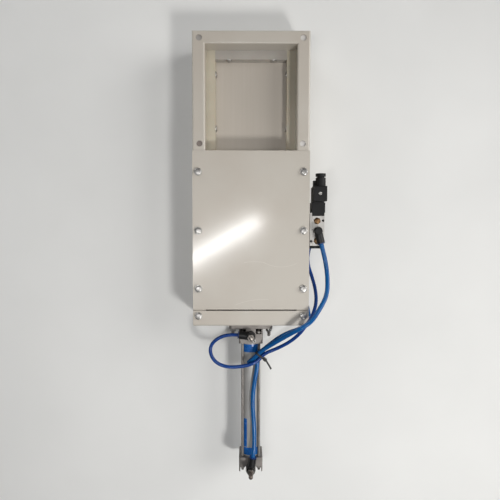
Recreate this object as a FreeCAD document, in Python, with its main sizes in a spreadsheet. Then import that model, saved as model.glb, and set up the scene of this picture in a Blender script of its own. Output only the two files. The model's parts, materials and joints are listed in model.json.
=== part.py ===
import FreeCAD, Part
import math
import os
from types import SimpleNamespace

import Sketcher

# Driving sizes in millimetres, one spreadsheet cell each
SIZES = {
    # body
    "opening_width": 200,
    "flange_strip": 28,
    "body_depth": 120,
    "bonnet_length": 382,
    "sheet_wall": 3,
    "bend_radius": 4,
    "hole_pitch": 225,
    "flange_hole": 13,
    "flange_nut_dia": 18,
    "flange_nut_height": 13,
    "flange_thread_dia": 12,
    "flange_thread_depth": 10,
    # cover and end plate
    "cover_thickness": 3,
    "cover_gap": 2.7,
    "end_lip": 34,
    "lower_lip": 20,
    "lip_side_gap": 1,
    "cover_bolt_inset": 12.5,
    "cover_bolt_edge": 46,
    "cover_bolt_pitch": 128,
    "lip_bolt_edge": 22.5,
    "bolt_dia": 8,
    "bolt_head_flats": 13,
    "bolt_head_height": 5.3,
    "bolt_nut_height": 6.8,
    "bolt_hole_gap": 0.5,
    "bolt_washer_dia": 16.5,
    "bolt_washer": 1.6,
    "cover_nut_dia": 14,
    "cover_nut_height": 10,
    "lip_screw_dia": 5,
    "lip_screw_head": 9.4,
    "lip_screw_pitch": 70,
    # guide bars, seal bars and blade
    "bar_width": 20,
    "bar_height": 45,
    "bar_end_gap": 1,
    "groove_depth": 10,
    "blade_fit": 0.3,
    "blade_thickness": 6,
    "blade_side_gap": 0.5,
    "blade_tip_gap": 1,
    "blade_bevel": 1.5,
    "guide_screw_edge": 51.5,
    "guide_screw_drop": 7.8,
    "guide_head_dia": 15,
    "guide_head_flat": 9,
    "guide_head_height": 3,
    "guide_screw_pitch": 119.5,
    "end_screw_pitch": 100,
    "seal_thickness": 20,
    "seal_setback": 2,
    # bracket, clevis and rod end
    "bracket_width": 120,
    "bracket_gap": 22,
    "bracket_depth": 34,
    "bracket_web": 6,
    "bracket_height": 24,
    "bracket_bolt_dia": 6,
    "bracket_bolt_flats": 10,
    "bracket_bolt_head": 4,
    "bracket_bolt_pitch": 40,
    "tongue_thickness": 12,
    "tongue_width": 24,
    "tongue_reach": 18,
    "pin_dia": 12,
    "pin_fit": 0.05,
    "clip_dia": 16,
    "clip_thickness": 1,
    "clevis_size": 24,
    "clevis_front": 12,
    "clevis_slot_gap": 2,
    "clevis_square": 36,
    "clevis_length": 48,
    "clevis_neck_dia": 20,
    "fork_fit": 0.1,
    "rod_thread_dia": 12,
    "rod_thread_depth": 27,
    "rod_nut_flats": 19,
    "rod_nut_height": 7,
    "rod_dia": 16,
    # cylinder
    "plate_length": 100,
    "plate_height": 55,
    "plate_thickness": 15,
    "plate_corner": 7,
    "plate_bolt_span": 84,
    "plate_bolt_rise": 36,
    "plate_bolt_tail": 18,
    "head_size": 55,
    "head_length": 34,
    "cap_length": 33,
    "head_corner": 4,
    "slot_wall": 3,
    "slot_width": 13,
    "slot_depth": 12,
    "collar_dia": 35,
    "collar_length": 20,
    "collar_gap": 0.5,
    "spigot_length": 8,
    "spigot_fit": 0.1,
    "barrel_length": 270,
    "bore_dia": 40,
    "barrel_wall": 2.5,
    "tie_pitch": 38,
    "tie_dia": 6,
    "tie_nut_flats": 10,
    "tie_nut_height": 6,
    "tie_tail": 5.5,
    "tie_hole_gap": 0.2,
    "bush_wall": 2,
    "bush_length": 30,
    "running_fit": 0.05,
    "piston_length": 28,
    "piston_gap": 1,
    "piston_clearance": 0.4,
    "ring_width": 4,
    "ring_depth": 2.6,
    "ring_edge": 4,
    "front_port_setback": 14.5,
    "rear_port_setback": 21.5,
    "cushion_dia": 8.5,
    "cushion_depth": 10,
    "cushion_offset": 7.8,
    "cushion_setback": 5.5,
    "cushion_gap": 0.3,
    "cushion_socket": 4,
    "cushion_socket_depth": 3,
    # air fittings
    "port_dia": 11,
    "port_gap": 0.1,
    "stem_length": 9,
    "arm_dia": 18,
    "arm_length": 27,
    "arm_rise": 12.5,
    "hub_dia": 19,
    "hub_top": 10,
    "port_a_rise": 40,
    "port_b_rise": 18,
    "banjo_ring_dia": 20,
    "banjo_height": 20,
    "banjo_rise": 10.5,
    "banjo_bolt_dia": 9,
    "banjo_hex_flats": 14,
    "banjo_hex_height": 8.5,
    "needle_dia": 6.5,
    "needle_gap": 0.3,
    "needle_depth": 16,
    "needle_slot": 1.2,
    "needle_slot_depth": 1.5,
    "knob_dia": 9.6,
    "knob_edge": 1.2,
    "knob_gap": 0.5,
    "front_knob_length": 5,
    "rear_knob_length": 18.5,
    "tube_dia": 10,
    "front_tube_dia": 8,
    "tube_fit": 0.1,
    "socket_depth": 15,
    "collet_dia": 13.5,
    "collet_gap": 0.3,
    "collet_sleeve": 3,
    "collet_flange_dia": 17,
    "collet_flange": 1.5,
    "collet_stand": 1.2,
    # valve
    "valve_station": 302.75,
    "valve_wall_gap": 5.3,
    "valve_bottom": 62,
    "valve_width": 32.6,
    "valve_length": 67.5,
    "valve_height": 30,
    "valve_tab_width": 4.7,
    "valve_tab_length": 7.2,
    "valve_port_pitch": 22.6,
    "valve_hole_span": 26.4,
    "valve_hole_length": 46.8,
    "valve_hole_dia": 5.5,
    "valve_groove_width": 1,
    "valve_groove_depth": 1,
    "valve_cap_length": 6,
    "spool_dia": 12,
    "spool_neck_dia": 7,
    "spool_land": 7,
    "spool_travel": 3,
    "spool_end_gap": 0.7,
    "pilot_length": 7.5,
    "coil_length": 23,
    "coil_width": 30.5,
    "coil_offset": 2.6,
    "core_width": 26,
    "core_length": 35,
    "override_dia": 4,
    "override_depth": 8,
    "override_travel": 1.2,
    "override_stand": 1.6,
    "plug_width": 29.5,
    "plug_length": 33.3,
    "plug_height": 27,
    "plug_start": 24.7,
    "plug_shoulder_width": 27,
    "plug_shoulder": 12.5,
    "plug_boss_dia": 22,
    "plug_boss": 6,
    "boss_offset": 2,
    "plug_gap": 0.5,
    "plug_foot_inset": 4,
    "plug_round": 2,
    "plug_screw_head": 7,
    "plug_screw_height": 3.5,
    "plug_screw_slot": 1.4,
    "plug_screw_slot_depth": 1.2,
    "gland_neck_dia": 16,
    "gland_neck": 2.8,
    "gland_flange_dia": 22.4,
    "gland_flange": 6.2,
    "gland_bore": 8,
    "silencer_dia": 15.5,
    "silencer_rim": 1.8,
    "silencer_dome_dia": 8,
    "silencer_dome": 1.4,
    "bracket_sheet": 3,
    "bracket_drop": 42,
    "bracket_window_width": 20.5,
    "bracket_window_length": 42.2,
    "wall_bolt_dia": 6,
    "wall_bolt_flats": 10,
    "wall_bolt_head": 4,
    "wall_bolt_pitch": 30,
    "wall_bolt_drop": 27,
    "valve_screw_dia": 5,
    "valve_screw_head_dia": 8.5,
    "valve_screw_head": 5,
    "valve_screw_length": 14,
    # cable tie
    "tie_strap": 1.2,
    "tie_strap_width": 4.2,
    "tie_clearance": 0.8,
    "tie_head_size": 7,
    "tie_tail_length": 22,
    "tie_tail_drift": 8,
}

COVER_BOLT_ROWS = 3
GUIDE_SCREW_ROWS = 5

# How far each fitting's arm is turned from pointing away from the body, in degrees about +Z
SUPPLY_TURN = 15
PORT_A_TURN = -15.5
PORT_B_TURN = -20
FRONT_TURN = -97
REAR_TURN = 170

# Tube routes, chosen by hand: corners of the centre line, in millimetres
SUPPLY_ROUTE = [
    (152.8, -314.6, 104.5),
    (160.7, -344.3, 104.5),
    (168.3, -377.0, 105.5),
    (171.6, -411.0, 109),
    (168.8, -444.0, 120),
    (152.0, -472.5, 140),
    (128.0, -488.5, 155),
    (104.0, -500.0, 157),
    (83.5, -518.5, 145),
    (62.0, -543.0, 124),
    (42.0, -560.0, 107.5),
    (22.6, -575.0, 99.4),
    (9.5, -591.1, 98.4),
    (-6.5, -602.0, 92),
]
FRONT_ROUTE = [
    (145.4, -325.6, 44),
    (135.6, -352.6, 44),
    (134.8, -382.5, 51),
    (142.8, -409.0, 63),
    (148.8, -437.0, 81),
    (147.5, -463.0, 106),
    (136.5, -486.0, 131),
    (121.5, -506.0, 141),
    (106.0, -528.5, 130),
    (87.0, -549.5, 113),
    (60.5, -566.5, 102),
    (30.6, -581.5, 99.2),
    (17.3, -597.8, 100.4),
    (-1.5, -606.5, 104),
    (-26.0, -612.0, 105),
    (-53.0, -614.0, 102),
    (-78.0, -606.5, 98.5),
    (-92.0, -590.0, 96),
    (-95.0, -569.0, 95),
    (-84.5, -550.5, 96),
    (-62.5, -540.8, 97.5),
    (-35.7, -538.1, 98),
    (-12.2, -541.0, 98),
]
REAR_ROUTE = [
    (146.3, -303.3, 22),
    (138.4, -331.9, 22),
    (134.4, -362.0, 19),
    (133.8, -398.0, 15),
    (134.3, -434.0, 13),
    (134.8, -467.0, 15),
    (136.5, -496.0, 22),
    (140.0, -522.0, 34),
    (120.0, -544.0, 49),
    (93.5, -550.0, 65),
    (68.0, -553.5, 79),
    (48.0, -562.5, 86.5),
    (29.8, -574.4, 89.5),
    (15.9, -591.4, 89.5),
    (14.5, -617.0, 89),
    (9.2, -647.0, 88.6),
    (4.6, -680.0, 88.5),
    (4.6, -716.0, 88.5),
    (7.4, -751.0, 88.8),
    (8.8, -786.0, 92.5),
    (6.3, -818.0, 98),
    (2.1, -841.4, 98),
]

# Cable tie: where the three tubes lie side by side, and how far their centres are from its middle
TIE_CENTRE = (20.3, -586.0, 96.2)
TIE_TURN = 140.7
TIE_SPREAD = 5.15
TIE_TOP = 3.0
TIE_BOTTOM = 6.5

X_AXIS = FreeCAD.Vector(1, 0, 0)
Y_AXIS = FreeCAD.Vector(0, 1, 0)
Z_AXIS = FreeCAD.Vector(0, 0, 1)
UPRIGHT = FreeCAD.Rotation()
UPSIDE_DOWN = FreeCAD.Rotation(Y_AXIS, 180)


class Size:
    """A length together with the sheet expression that gives it."""

    def __init__(self, text, value):
        self.text = text
        self.value = value

    def __add__(self, other):
        return Size(f"({self.text} + {text_of(other)})", self.value + number(other))

    def __radd__(self, other):
        return Size(f"({text_of(other)} + {self.text})", number(other) + self.value)

    def __sub__(self, other):
        return Size(f"({self.text} - {text_of(other)})", self.value - number(other))

    def __rsub__(self, other):
        return Size(f"({text_of(other)} - {self.text})", number(other) - self.value)

    def __mul__(self, other):
        return Size(f"({self.text} * {text_of(other)})", self.value * number(other))

    def __rmul__(self, other):
        return self * other

    def __truediv__(self, other):
        return Size(f"({self.text} / {text_of(other)})", self.value / number(other))

    def __neg__(self):
        return Size(f"(0 - {self.text})", -self.value)


def number(size):
    return size.value if isinstance(size, Size) else float(size)


def text_of(size):
    return size.text if isinstance(size, Size) else f"{float(size):.6f}"


doc = FreeCAD.newDocument("slide_gate")
sheet = doc.addObject("Spreadsheet::Sheet", "Sizes")
for row, (alias, value) in enumerate(SIZES.items(), start=1):
    sheet.set(f"A{row}", alias)
    sheet.set(f"B{row}", str(value))
    sheet.setAlias(f"B{row}", alias)
doc.recompute()
s = SimpleNamespace(**{alias: Size(f"Sizes.{alias}", float(value)) for alias, value in SIZES.items()})

nodes = []


def bind(obj, path, size):
    obj.setExpression(path, text_of(size))


def place(obj, x, y, z, rotation=UPRIGHT):
    obj.Placement = FreeCAD.Placement(FreeCAD.Vector(), rotation)
    bind(obj, "Placement.Base.x", x)
    bind(obj, "Placement.Base.y", y)
    bind(obj, "Placement.Base.z", z)


def new_body(name, x=0, y=0, z=0, rotation=UPRIGHT, is_node=True):
    owner = doc.addObject("PartDesign::Body", name)
    owner.Label = name
    place(owner, x, y, z, rotation)
    if is_node:
        nodes.append(owner)
    return owner


def sketch_on(owner, role, offset=0):
    """An empty sketch on an origin plane of its body, moved along the plane's normal.

    XY_Plane looks along +Z, YZ_Plane along +X and XZ_Plane along -Y.
    """
    plane = next(feature for feature in owner.Origin.OriginFeatures if feature.Role == role)
    sketch = owner.newObject("Sketcher::SketchObject", f"{owner.Name}_sketch")
    sketch.AttachmentSupport = [(plane, "")]
    sketch.MapMode = "FlatFace"
    bind(sketch, "AttachmentOffset.Base.z", offset)
    return sketch


def dimension(sketch, constraint, size):
    index = sketch.addConstraint(constraint)
    name = f"size_{index}"
    sketch.renameConstraint(index, name)
    sketch.setExpression(f"Constraints.{name}", text_of(size))


def pin_point(sketch, geometry, vertex, u, v):
    dimension(sketch, Sketcher.Constraint("DistanceX", -1, 1, geometry, vertex, number(u)), u)
    dimension(sketch, Sketcher.Constraint("DistanceY", -1, 1, geometry, vertex, number(v)), v)


def draw_polygon(sketch, points):
    first = sketch.GeometryCount
    count = len(points)
    corners = [FreeCAD.Vector(number(u), number(v), 0) for u, v in points]
    for index in range(count):
        sketch.addGeometry(Part.LineSegment(corners[index], corners[(index + 1) % count]), False)
    for index in range(count):
        following = first + (index + 1) % count
        sketch.addConstraint(Sketcher.Constraint("Coincident", first + index, 2, following, 1))
    for index, (u, v) in enumerate(points):
        pin_point(sketch, first + index, 1, u, v)
    return sketch


def draw_rectangle(sketch, u0, v0, u1, v1):
    return draw_polygon(sketch, [(u0, v0), (u1, v0), (u1, v1), (u0, v1)])


def draw_circle(sketch, u, v, diameter):
    centre = FreeCAD.Vector(number(u), number(v), 0)
    geometry = sketch.addGeometry(Part.Circle(centre, Z_AXIS, number(diameter) / 2), False)
    pin_point(sketch, geometry, 3, u, v)
    dimension(sketch, Sketcher.Constraint("Diameter", geometry, number(diameter)), diameter)
    return sketch


def draw_hexagon(sketch, flats, u=0, v=0):
    corner = flats / math.sqrt(3)
    angles = [math.radians(60 * step) for step in range(6)]
    return draw_polygon(sketch, [(u + corner * math.cos(a), v + corner * math.sin(a)) for a in angles])


def pad(owner, sketch, length, reverse=False, centred=False):
    feature = owner.newObject("PartDesign::Pad", f"{owner.Name}_pad")
    feature.Profile = sketch
    feature.Reversed = reverse
    if centred:
        feature.SideType = "Symmetric"
    bind(feature, "Length", length)
    return feature


def pocket(owner, sketch, length=None, reverse=False):
    """A cut against the sketch's normal, or along it when reversed; through everything with no length."""
    feature = owner.newObject("PartDesign::Pocket", f"{owner.Name}_pocket")
    feature.Profile = sketch
    feature.Reversed = reverse
    if length is None:
        feature.Type = "ThroughAll"
    else:
        bind(feature, "Length", length)
    return feature


def cut_through(owner, sketch):
    feature = pocket(owner, sketch)
    feature.SideType = "Symmetric"
    return feature


def revolve(owner, role, axis, points):
    sketch = draw_polygon(sketch_on(owner, role), points)
    feature = owner.newObject("PartDesign::Revolution", f"{owner.Name}_turned")
    feature.Profile = sketch
    feature.ReferenceAxis = (sketch, [axis])
    feature.Angle = 360
    return feature


def turn_upright(owner, points):
    """A solid turned about the body's Z axis from (radius, height) corners."""
    return revolve(owner, "XZ_Plane", "V_Axis", points)


def turn_lengthwise(owner, points):
    """A solid turned about the body's Y axis from (distance along Y, radius) corners."""
    return revolve(owner, "YZ_Plane", "H_Axis", points)


def dress(owner, kind, size_name, size, chosen):
    doc.recompute()
    base = owner.Tip
    edges = [f"Edge{index}" for index, edge in enumerate(base.Shape.Edges, start=1) if chosen(edge)]
    feature = owner.newObject(f"PartDesign::{kind}", f"{owner.Name}_{kind.lower()}")
    feature.Base = (base, edges)
    bind(feature, size_name, size)
    return feature


def round_edges(owner, radius, chosen):
    return dress(owner, "Fillet", "Radius", radius, chosen)


def bevel_edges(owner, size, chosen):
    return dress(owner, "Chamfer", "Size", size, chosen)


def along(axis, **where):
    """Picks the straight edges along an axis whose middle has the given coordinates."""

    def chosen(edge):
        if edge.Curve.TypeId != "Part::GeomLine":
            return False
        if abs(edge.tangentAt(edge.FirstParameter).dot(axis)) < 0.999:
            return False
        middle = edge.CenterOfMass
        return all(abs(getattr(middle, name) - number(size)) < 0.01 for name, size in where.items())

    return chosen


def circles_at(**where):
    """Picks the circular edges whose centre has the given coordinates."""

    def chosen(edge):
        if edge.Curve.TypeId != "Part::GeomCircle":
            return False
        centre = edge.Curve.Center
        return all(abs(getattr(centre, name) - number(size)) < 0.01 for name, size in where.items())

    return chosen


def group(name, pieces):
    """One node of separate solids: copies of master pieces, each given as (master, x, y, z, rotation)."""
    copies = []
    for master, x, y, z, rotation in pieces:
        copy = doc.addObject("App::Link", f"{name}_copy")
        copy.LinkedObject = master
        place(copy, x, y, z, rotation)
        copies.append(copy)
    compound = doc.addObject("Part::Compound", name)
    compound.Label = name
    compound.Links = copies
    nodes.append(compound)
    return compound


def hex_bolt(name, diameter, length, flats, head_height):
    """A master bolt with its head above z = 0 and its shank below."""
    owner = new_body(name, is_node=False)
    pad(owner, draw_hexagon(sketch_on(owner, "XY_Plane"), flats), head_height)
    pad(owner, draw_circle(sketch_on(owner, "XY_Plane"), 0, 0, diameter), length, reverse=True)
    return owner


def hex_nut(name, thread, flats, height):
    """A master nut above z = 0."""
    owner = new_body(name, is_node=False)
    sketch = draw_circle(draw_hexagon(sketch_on(owner, "XY_Plane"), flats), 0, 0, thread)
    pad(owner, sketch, height)
    return owner


# Places that several pieces share
inner_face = s.opening_width / 2
flange_edge = inner_face + s.flange_strip
body_rear = flange_edge + s.bonnet_length
plate_face = body_rear + s.sheet_wall
mid_height = s.body_depth / 2
bar_face = inner_face - s.bar_width
groove_face = bar_face + s.groove_depth
blade_top = mid_height + s.blade_thickness / 2
blade_half_width = groove_face - s.blade_side_gap
blade_tip = groove_face - s.blade_tip_gap
bolt_hole = s.bolt_dia + s.bolt_hole_gap * 2
cover_top = s.body_depth + s.cover_thickness
cover_bolt_x = flange_edge - s.cover_bolt_inset
cover_bolt_ys = [flange_edge + s.cover_bolt_edge + s.cover_bolt_pitch * row for row in range(COVER_BOLT_ROWS)]
lip_bolt_y = plate_face - s.lip_bolt_edge
first_screw_y = inner_face - s.guide_screw_edge
guide_screw_ys = [first_screw_y - s.guide_screw_pitch * row for row in range(GUIDE_SCREW_ROWS)]
screw_offset = s.bar_height / 2 - s.guide_screw_drop
guide_screw_zs = [mid_height + screw_offset, mid_height - screw_offset]
lip_screw_y = body_rear - s.lower_lip / 2
lip_screw_xs = [-s.lip_screw_pitch, 0, s.lip_screw_pitch]
flange_hole_xy = s.hole_pitch / 2

# Valve frame: middle of the valve's underside
valve_x = flange_edge + s.valve_wall_gap + s.valve_width / 2
valve_y = -s.valve_station
valve_top = s.valve_bottom + s.valve_height
wall_bolt_z = s.valve_bottom - s.wall_bolt_drop
wall_bolt_ys = [valve_y - s.wall_bolt_pitch / 2, valve_y + s.wall_bolt_pitch / 2]


def side_channel(name, side):
    """Long box-section side of the body, mitred to the end channel and open at the end plate."""
    owner = new_body(name)
    section = sketch_on(owner, "XZ_Plane", -flange_edge)
    draw_rectangle(section, side * inner_face, 0, side * flange_edge, s.body_depth)
    pad(owner, section, flange_edge + body_rear)
    round_edges(owner, s.bend_radius, along(Y_AXIS))
    hollow = sketch_on(owner, "XZ_Plane", -(flange_edge - s.sheet_wall))
    draw_rectangle(
        hollow,
        side * (inner_face + s.sheet_wall),
        s.sheet_wall,
        side * (flange_edge - s.sheet_wall),
        s.body_depth - s.sheet_wall,
    )
    pocket(owner, hollow, reverse=True)
    mitre = sketch_on(owner, "XY_Plane")
    corner = (side * inner_face, inner_face)
    draw_polygon(mitre, [corner, (side * flange_edge, flange_edge), (side * inner_face, flange_edge)])
    cut_through(owner, mitre)
    holes = sketch_on(owner, "XY_Plane")
    draw_circle(holes, side * flange_hole_xy, flange_hole_xy, s.flange_hole)
    draw_circle(holes, side * flange_hole_xy, -flange_hole_xy, s.flange_hole)
    cut_through(owner, holes)
    bolt_holes = sketch_on(owner, "XY_Plane", s.body_depth)
    for y in [*cover_bolt_ys, lip_bolt_y]:
        draw_circle(bolt_holes, side * cover_bolt_x, -y, bolt_hole)
    pocket(owner, bolt_holes, s.sheet_wall)
    screw_holes = sketch_on(owner, "YZ_Plane", side * inner_face)
    for y in guide_screw_ys:
        for z in guide_screw_zs:
            draw_circle(screw_holes, y, z, s.bolt_dia)
    pocket(owner, screw_holes, s.sheet_wall, reverse=side > 0)
    return owner


def valve_wall_holes(owner):
    holes = sketch_on(owner, "YZ_Plane", flange_edge)
    for y in wall_bolt_ys:
        draw_circle(holes, y, wall_bolt_z, s.wall_bolt_dia)
    pocket(owner, holes, s.sheet_wall)


def end_channel():
    """Box-section end of the body, mitred between the side channels."""
    owner = new_body("end_channel")
    section = sketch_on(owner, "YZ_Plane", -flange_edge)
    draw_rectangle(section, inner_face, 0, flange_edge, s.body_depth)
    pad(owner, section, flange_edge * 2)
    round_edges(owner, s.bend_radius, along(X_AXIS))
    hollow = sketch_on(owner, "YZ_Plane")
    draw_rectangle(
        hollow,
        inner_face + s.sheet_wall,
        s.sheet_wall,
        flange_edge - s.sheet_wall,
        s.body_depth - s.sheet_wall,
    )
    cut_through(owner, hollow)
    mitre = sketch_on(owner, "XY_Plane")
    for side in (1, -1):
        corner = (side * inner_face, inner_face)
        draw_polygon(mitre, [corner, (side * flange_edge, flange_edge), (side * flange_edge, inner_face)])
    cut_through(owner, mitre)
    holes = sketch_on(owner, "XY_Plane")
    for side in (1, -1):
        draw_circle(holes, side * flange_hole_xy, flange_hole_xy, s.flange_hole)
    cut_through(owner, holes)
    screw_holes = sketch_on(owner, "XZ_Plane", -inner_face)
    for side in (1, -1):
        for z in guide_screw_zs:
            draw_circle(screw_holes, side * s.end_screw_pitch / 2, z, s.bolt_dia)
    pocket(owner, screw_holes, s.sheet_wall)


def bottom_plate():
    owner = new_body("bottom_plate")
    outline = sketch_on(owner, "XY_Plane")
    draw_rectangle(outline, -inner_face, -body_rear, inner_face, -flange_edge)
    pad(owner, outline, s.sheet_wall)
    holes = sketch_on(owner, "XY_Plane")
    for x in lip_screw_xs:
        draw_circle(holes, x, -lip_screw_y, s.lip_screw_dia)
    pocket(owner, holes, s.sheet_wall, reverse=True)
    bevel_edges(owner, (s.lip_screw_head - s.lip_screw_dia) / 2, circles_at(z=0))


def weld_nuts():
    """Blind nuts under the flange holes and nuts under the cover bolts, inside the channels."""
    flange_nut = new_body("flange_nut", is_node=False)
    disc = draw_circle(sketch_on(flange_nut, "XY_Plane"), 0, 0, s.flange_nut_dia)
    pad(flange_nut, disc, s.flange_nut_height)
    thread = draw_circle(sketch_on(flange_nut, "XY_Plane"), 0, 0, s.flange_thread_dia)
    pocket(flange_nut, thread, s.flange_thread_depth, reverse=True)
    cover_nut = new_body("cover_nut", is_node=False)
    ring = draw_circle(sketch_on(cover_nut, "XY_Plane"), 0, 0, s.cover_nut_dia)
    pad(cover_nut, draw_circle(ring, 0, 0, s.bolt_dia), s.cover_nut_height)
    pieces = []
    for side in (1, -1):
        for y in (flange_hole_xy, -flange_hole_xy):
            x = side * flange_hole_xy
            pieces.append((flange_nut, x, y, s.sheet_wall, UPRIGHT))
            pieces.append((flange_nut, x, y, s.body_depth - s.sheet_wall, UPSIDE_DOWN))
        for y in [*cover_bolt_ys, lip_bolt_y]:
            pieces.append((cover_nut, side * cover_bolt_x, -y, s.body_depth - s.sheet_wall, UPSIDE_DOWN))
    group("weld_nuts", pieces)


def top_cover():
    owner = new_body("top_cover")
    outline = sketch_on(owner, "XY_Plane", s.body_depth)
    draw_rectangle(outline, -flange_edge, -(plate_face - s.end_lip - s.cover_gap), flange_edge, -flange_edge)
    for side in (1, -1):
        for y in cover_bolt_ys:
            draw_circle(outline, side * cover_bolt_x, -y, bolt_hole)
    pad(owner, outline, s.cover_thickness)


def end_plate():
    """Folded plate that closes the chamber and carries the cylinder."""
    owner = new_body("end_plate")
    fold = sketch_on(owner, "YZ_Plane")
    draw_polygon(
        fold,
        [
            (-plate_face, 0),
            (-body_rear, 0),
            (-body_rear, s.body_depth),
            (-(plate_face - s.end_lip), s.body_depth),
            (-(plate_face - s.end_lip), cover_top),
            (-plate_face, cover_top),
        ],
    )
    pad(owner, fold, flange_edge * 2, centred=True)
    round_edges(owner, s.bend_radius, along(X_AXIS, y=-plate_face, z=cover_top))
    lip = sketch_on(owner, "XY_Plane", s.sheet_wall)
    lip_edge = inner_face - s.lip_side_gap
    draw_rectangle(lip, -lip_edge, -body_rear, lip_edge, -(body_rear - s.lower_lip))
    pad(owner, lip, s.sheet_wall)
    lower_holes = sketch_on(owner, "XY_Plane", s.sheet_wall)
    for x in lip_screw_xs:
        draw_circle(lower_holes, x, -lip_screw_y, s.lip_screw_dia)
    pocket(owner, lower_holes, s.sheet_wall, reverse=True)
    upper_holes = sketch_on(owner, "XY_Plane", cover_top)
    for side in (1, -1):
        draw_circle(upper_holes, side * cover_bolt_x, -lip_bolt_y, bolt_hole)
    pocket(owner, upper_holes, s.cover_thickness)
    rod_hole = sketch_on(owner, "XZ_Plane", plate_face)
    draw_circle(rod_hole, 0, mid_height, s.collar_dia + s.collar_gap * 2)
    bolt_x = s.plate_bolt_span / 2
    bolt_rise = s.plate_bolt_rise / 2
    for side in (1, -1):
        for up in (1, -1):
            draw_circle(rod_hole, side * bolt_x, mid_height + up * bolt_rise, bolt_hole)
    pocket(owner, rod_hole, s.sheet_wall)


def cover_bolts():
    """Hex bolts on washers, along both sides of the cover and on the end plate's lip."""
    washer = new_body("cover_washer", is_node=False)
    ring = draw_circle(sketch_on(washer, "XY_Plane"), 0, 0, s.bolt_washer_dia)
    pad(washer, draw_circle(ring, 0, 0, bolt_hole), s.bolt_washer)
    grip = s.bolt_washer + s.cover_thickness + s.sheet_wall + s.cover_nut_height
    bolt = hex_bolt("cover_bolt", s.bolt_dia, grip, s.bolt_head_flats, s.bolt_head_height)
    pieces = []
    for side in (1, -1):
        for y in [*cover_bolt_ys, lip_bolt_y]:
            x = side * cover_bolt_x
            pieces.append((washer, x, -y, cover_top, UPRIGHT))
            pieces.append((bolt, x, -y, cover_top + s.bolt_washer, UPRIGHT))
    group("cover_bolts", pieces)


def end_plate_screws():
    """Countersunk screws from below, through the bottom plate into the end plate's lower lip."""
    screw = new_body("lip_screw", is_node=False)
    head = s.lip_screw_head / 2
    shank = s.lip_screw_dia / 2
    length = s.sheet_wall * 2
    turn_upright(screw, [(0, 0), (head, 0), (shank, head - shank), (shank, length), (0, length)])
    group("end_plate_screws", [(screw, x, -lip_screw_y, 0, UPRIGHT) for x in lip_screw_xs])


def bar_section(sketch, side):
    """Grooved section of a guide bar: its groove opens towards the passage."""
    low = mid_height - s.bar_height / 2
    high = mid_height + s.bar_height / 2
    groove_half = s.blade_thickness / 2 + s.blade_fit
    draw_polygon(
        sketch,
        [
            (side * bar_face, low),
            (side * inner_face, low),
            (side * inner_face, high),
            (side * bar_face, high),
            (side * bar_face, mid_height + groove_half),
            (side * groove_face, mid_height + groove_half),
            (side * groove_face, mid_height - groove_half),
            (side * bar_face, mid_height - groove_half),
        ],
    )
    return sketch


def side_guide_bar(name, side):
    owner = new_body(name)
    section = bar_section(sketch_on(owner, "XZ_Plane", -inner_face), side)
    pad(owner, section, inner_face + body_rear - s.bar_end_gap)
    holes = sketch_on(owner, "YZ_Plane")
    for y in guide_screw_ys:
        for z in guide_screw_zs:
            draw_circle(holes, y, z, bolt_hole)
    cut_through(owner, holes)


def end_guide_bar():
    owner = new_body("guide_bar_end")
    section = bar_section(sketch_on(owner, "YZ_Plane"), 1)
    pad(owner, section, bar_face * 2, centred=True)
    holes = sketch_on(owner, "XZ_Plane")
    for side in (1, -1):
        for z in guide_screw_zs:
            draw_circle(holes, side * s.end_screw_pitch / 2, z, bolt_hole)
    cut_through(owner, holes)


def guide_screws():
    """Low button-head screws through the bars into the channels' walls."""
    screw = new_body("guide_screw", is_node=False)
    shank = s.bolt_dia / 2
    head = s.guide_head_dia / 2
    length = s.bar_width + s.sheet_wall
    turn_upright(
        screw,
        [
            (0, -length),
            (shank, -length),
            (shank, 0),
            (head, 0),
            (head, s.guide_head_height / 3),
            (s.guide_head_flat / 2, s.guide_head_height),
            (0, s.guide_head_height),
        ],
    )
    head_to_right = FreeCAD.Rotation(Y_AXIS, 90)
    head_to_left = FreeCAD.Rotation(Y_AXIS, -90)
    head_to_rear = FreeCAD.Rotation(X_AXIS, 90)
    pieces = []
    for z in guide_screw_zs:
        for y in guide_screw_ys:
            pieces.append((screw, -bar_face, y, z, head_to_right))
            pieces.append((screw, bar_face, y, z, head_to_left))
        for side in (1, -1):
            pieces.append((screw, side * s.end_screw_pitch / 2, bar_face, z, head_to_rear))
    group("guide_screws", pieces)


def seal_bar(name, edge, shoulder, blade_side):
    """Cross bar between the guide bars, with a wide foot that fills the gap beyond them."""
    owner = new_body(name, is_node=False)
    section = sketch_on(owner, "XZ_Plane", flange_edge + s.seal_setback)
    draw_polygon(
        section,
        [
            (-inner_face, edge),
            (inner_face, edge),
            (inner_face, shoulder),
            (bar_face, shoulder),
            (bar_face, blade_side),
            (-bar_face, blade_side),
            (-bar_face, shoulder),
            (-inner_face, shoulder),
        ],
    )
    pad(owner, section, s.seal_thickness)
    return owner


def seal_bars():
    upper = seal_bar("upper_seal", s.body_depth, mid_height + s.bar_height / 2, blade_top + s.blade_fit)
    lower_side = mid_height - s.blade_thickness / 2 - s.blade_fit
    lower = seal_bar("lower_seal", s.sheet_wall, mid_height - s.bar_height / 2, lower_side)
    group("seal_bars", [(upper, 0, 0, 0, UPRIGHT), (lower, 0, 0, 0, UPRIGHT)])


# Blade train: the bracket's slot takes the blade's tail, and the eye is on the cylinder's axis
bracket_front = flange_edge + s.seal_setback + s.seal_thickness + s.bracket_gap
bracket_rear = bracket_front + s.bracket_depth
blade_tail = bracket_rear - s.bracket_web
bracket_bolt_y = (bracket_front + blade_tail) / 2
eye_y = bracket_rear + s.tongue_reach
bracket_bolt_xs = [-s.bracket_bolt_pitch, 0, s.bracket_bolt_pitch]
bracket_hole = s.bracket_bolt_dia + s.fork_fit * 2


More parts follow.
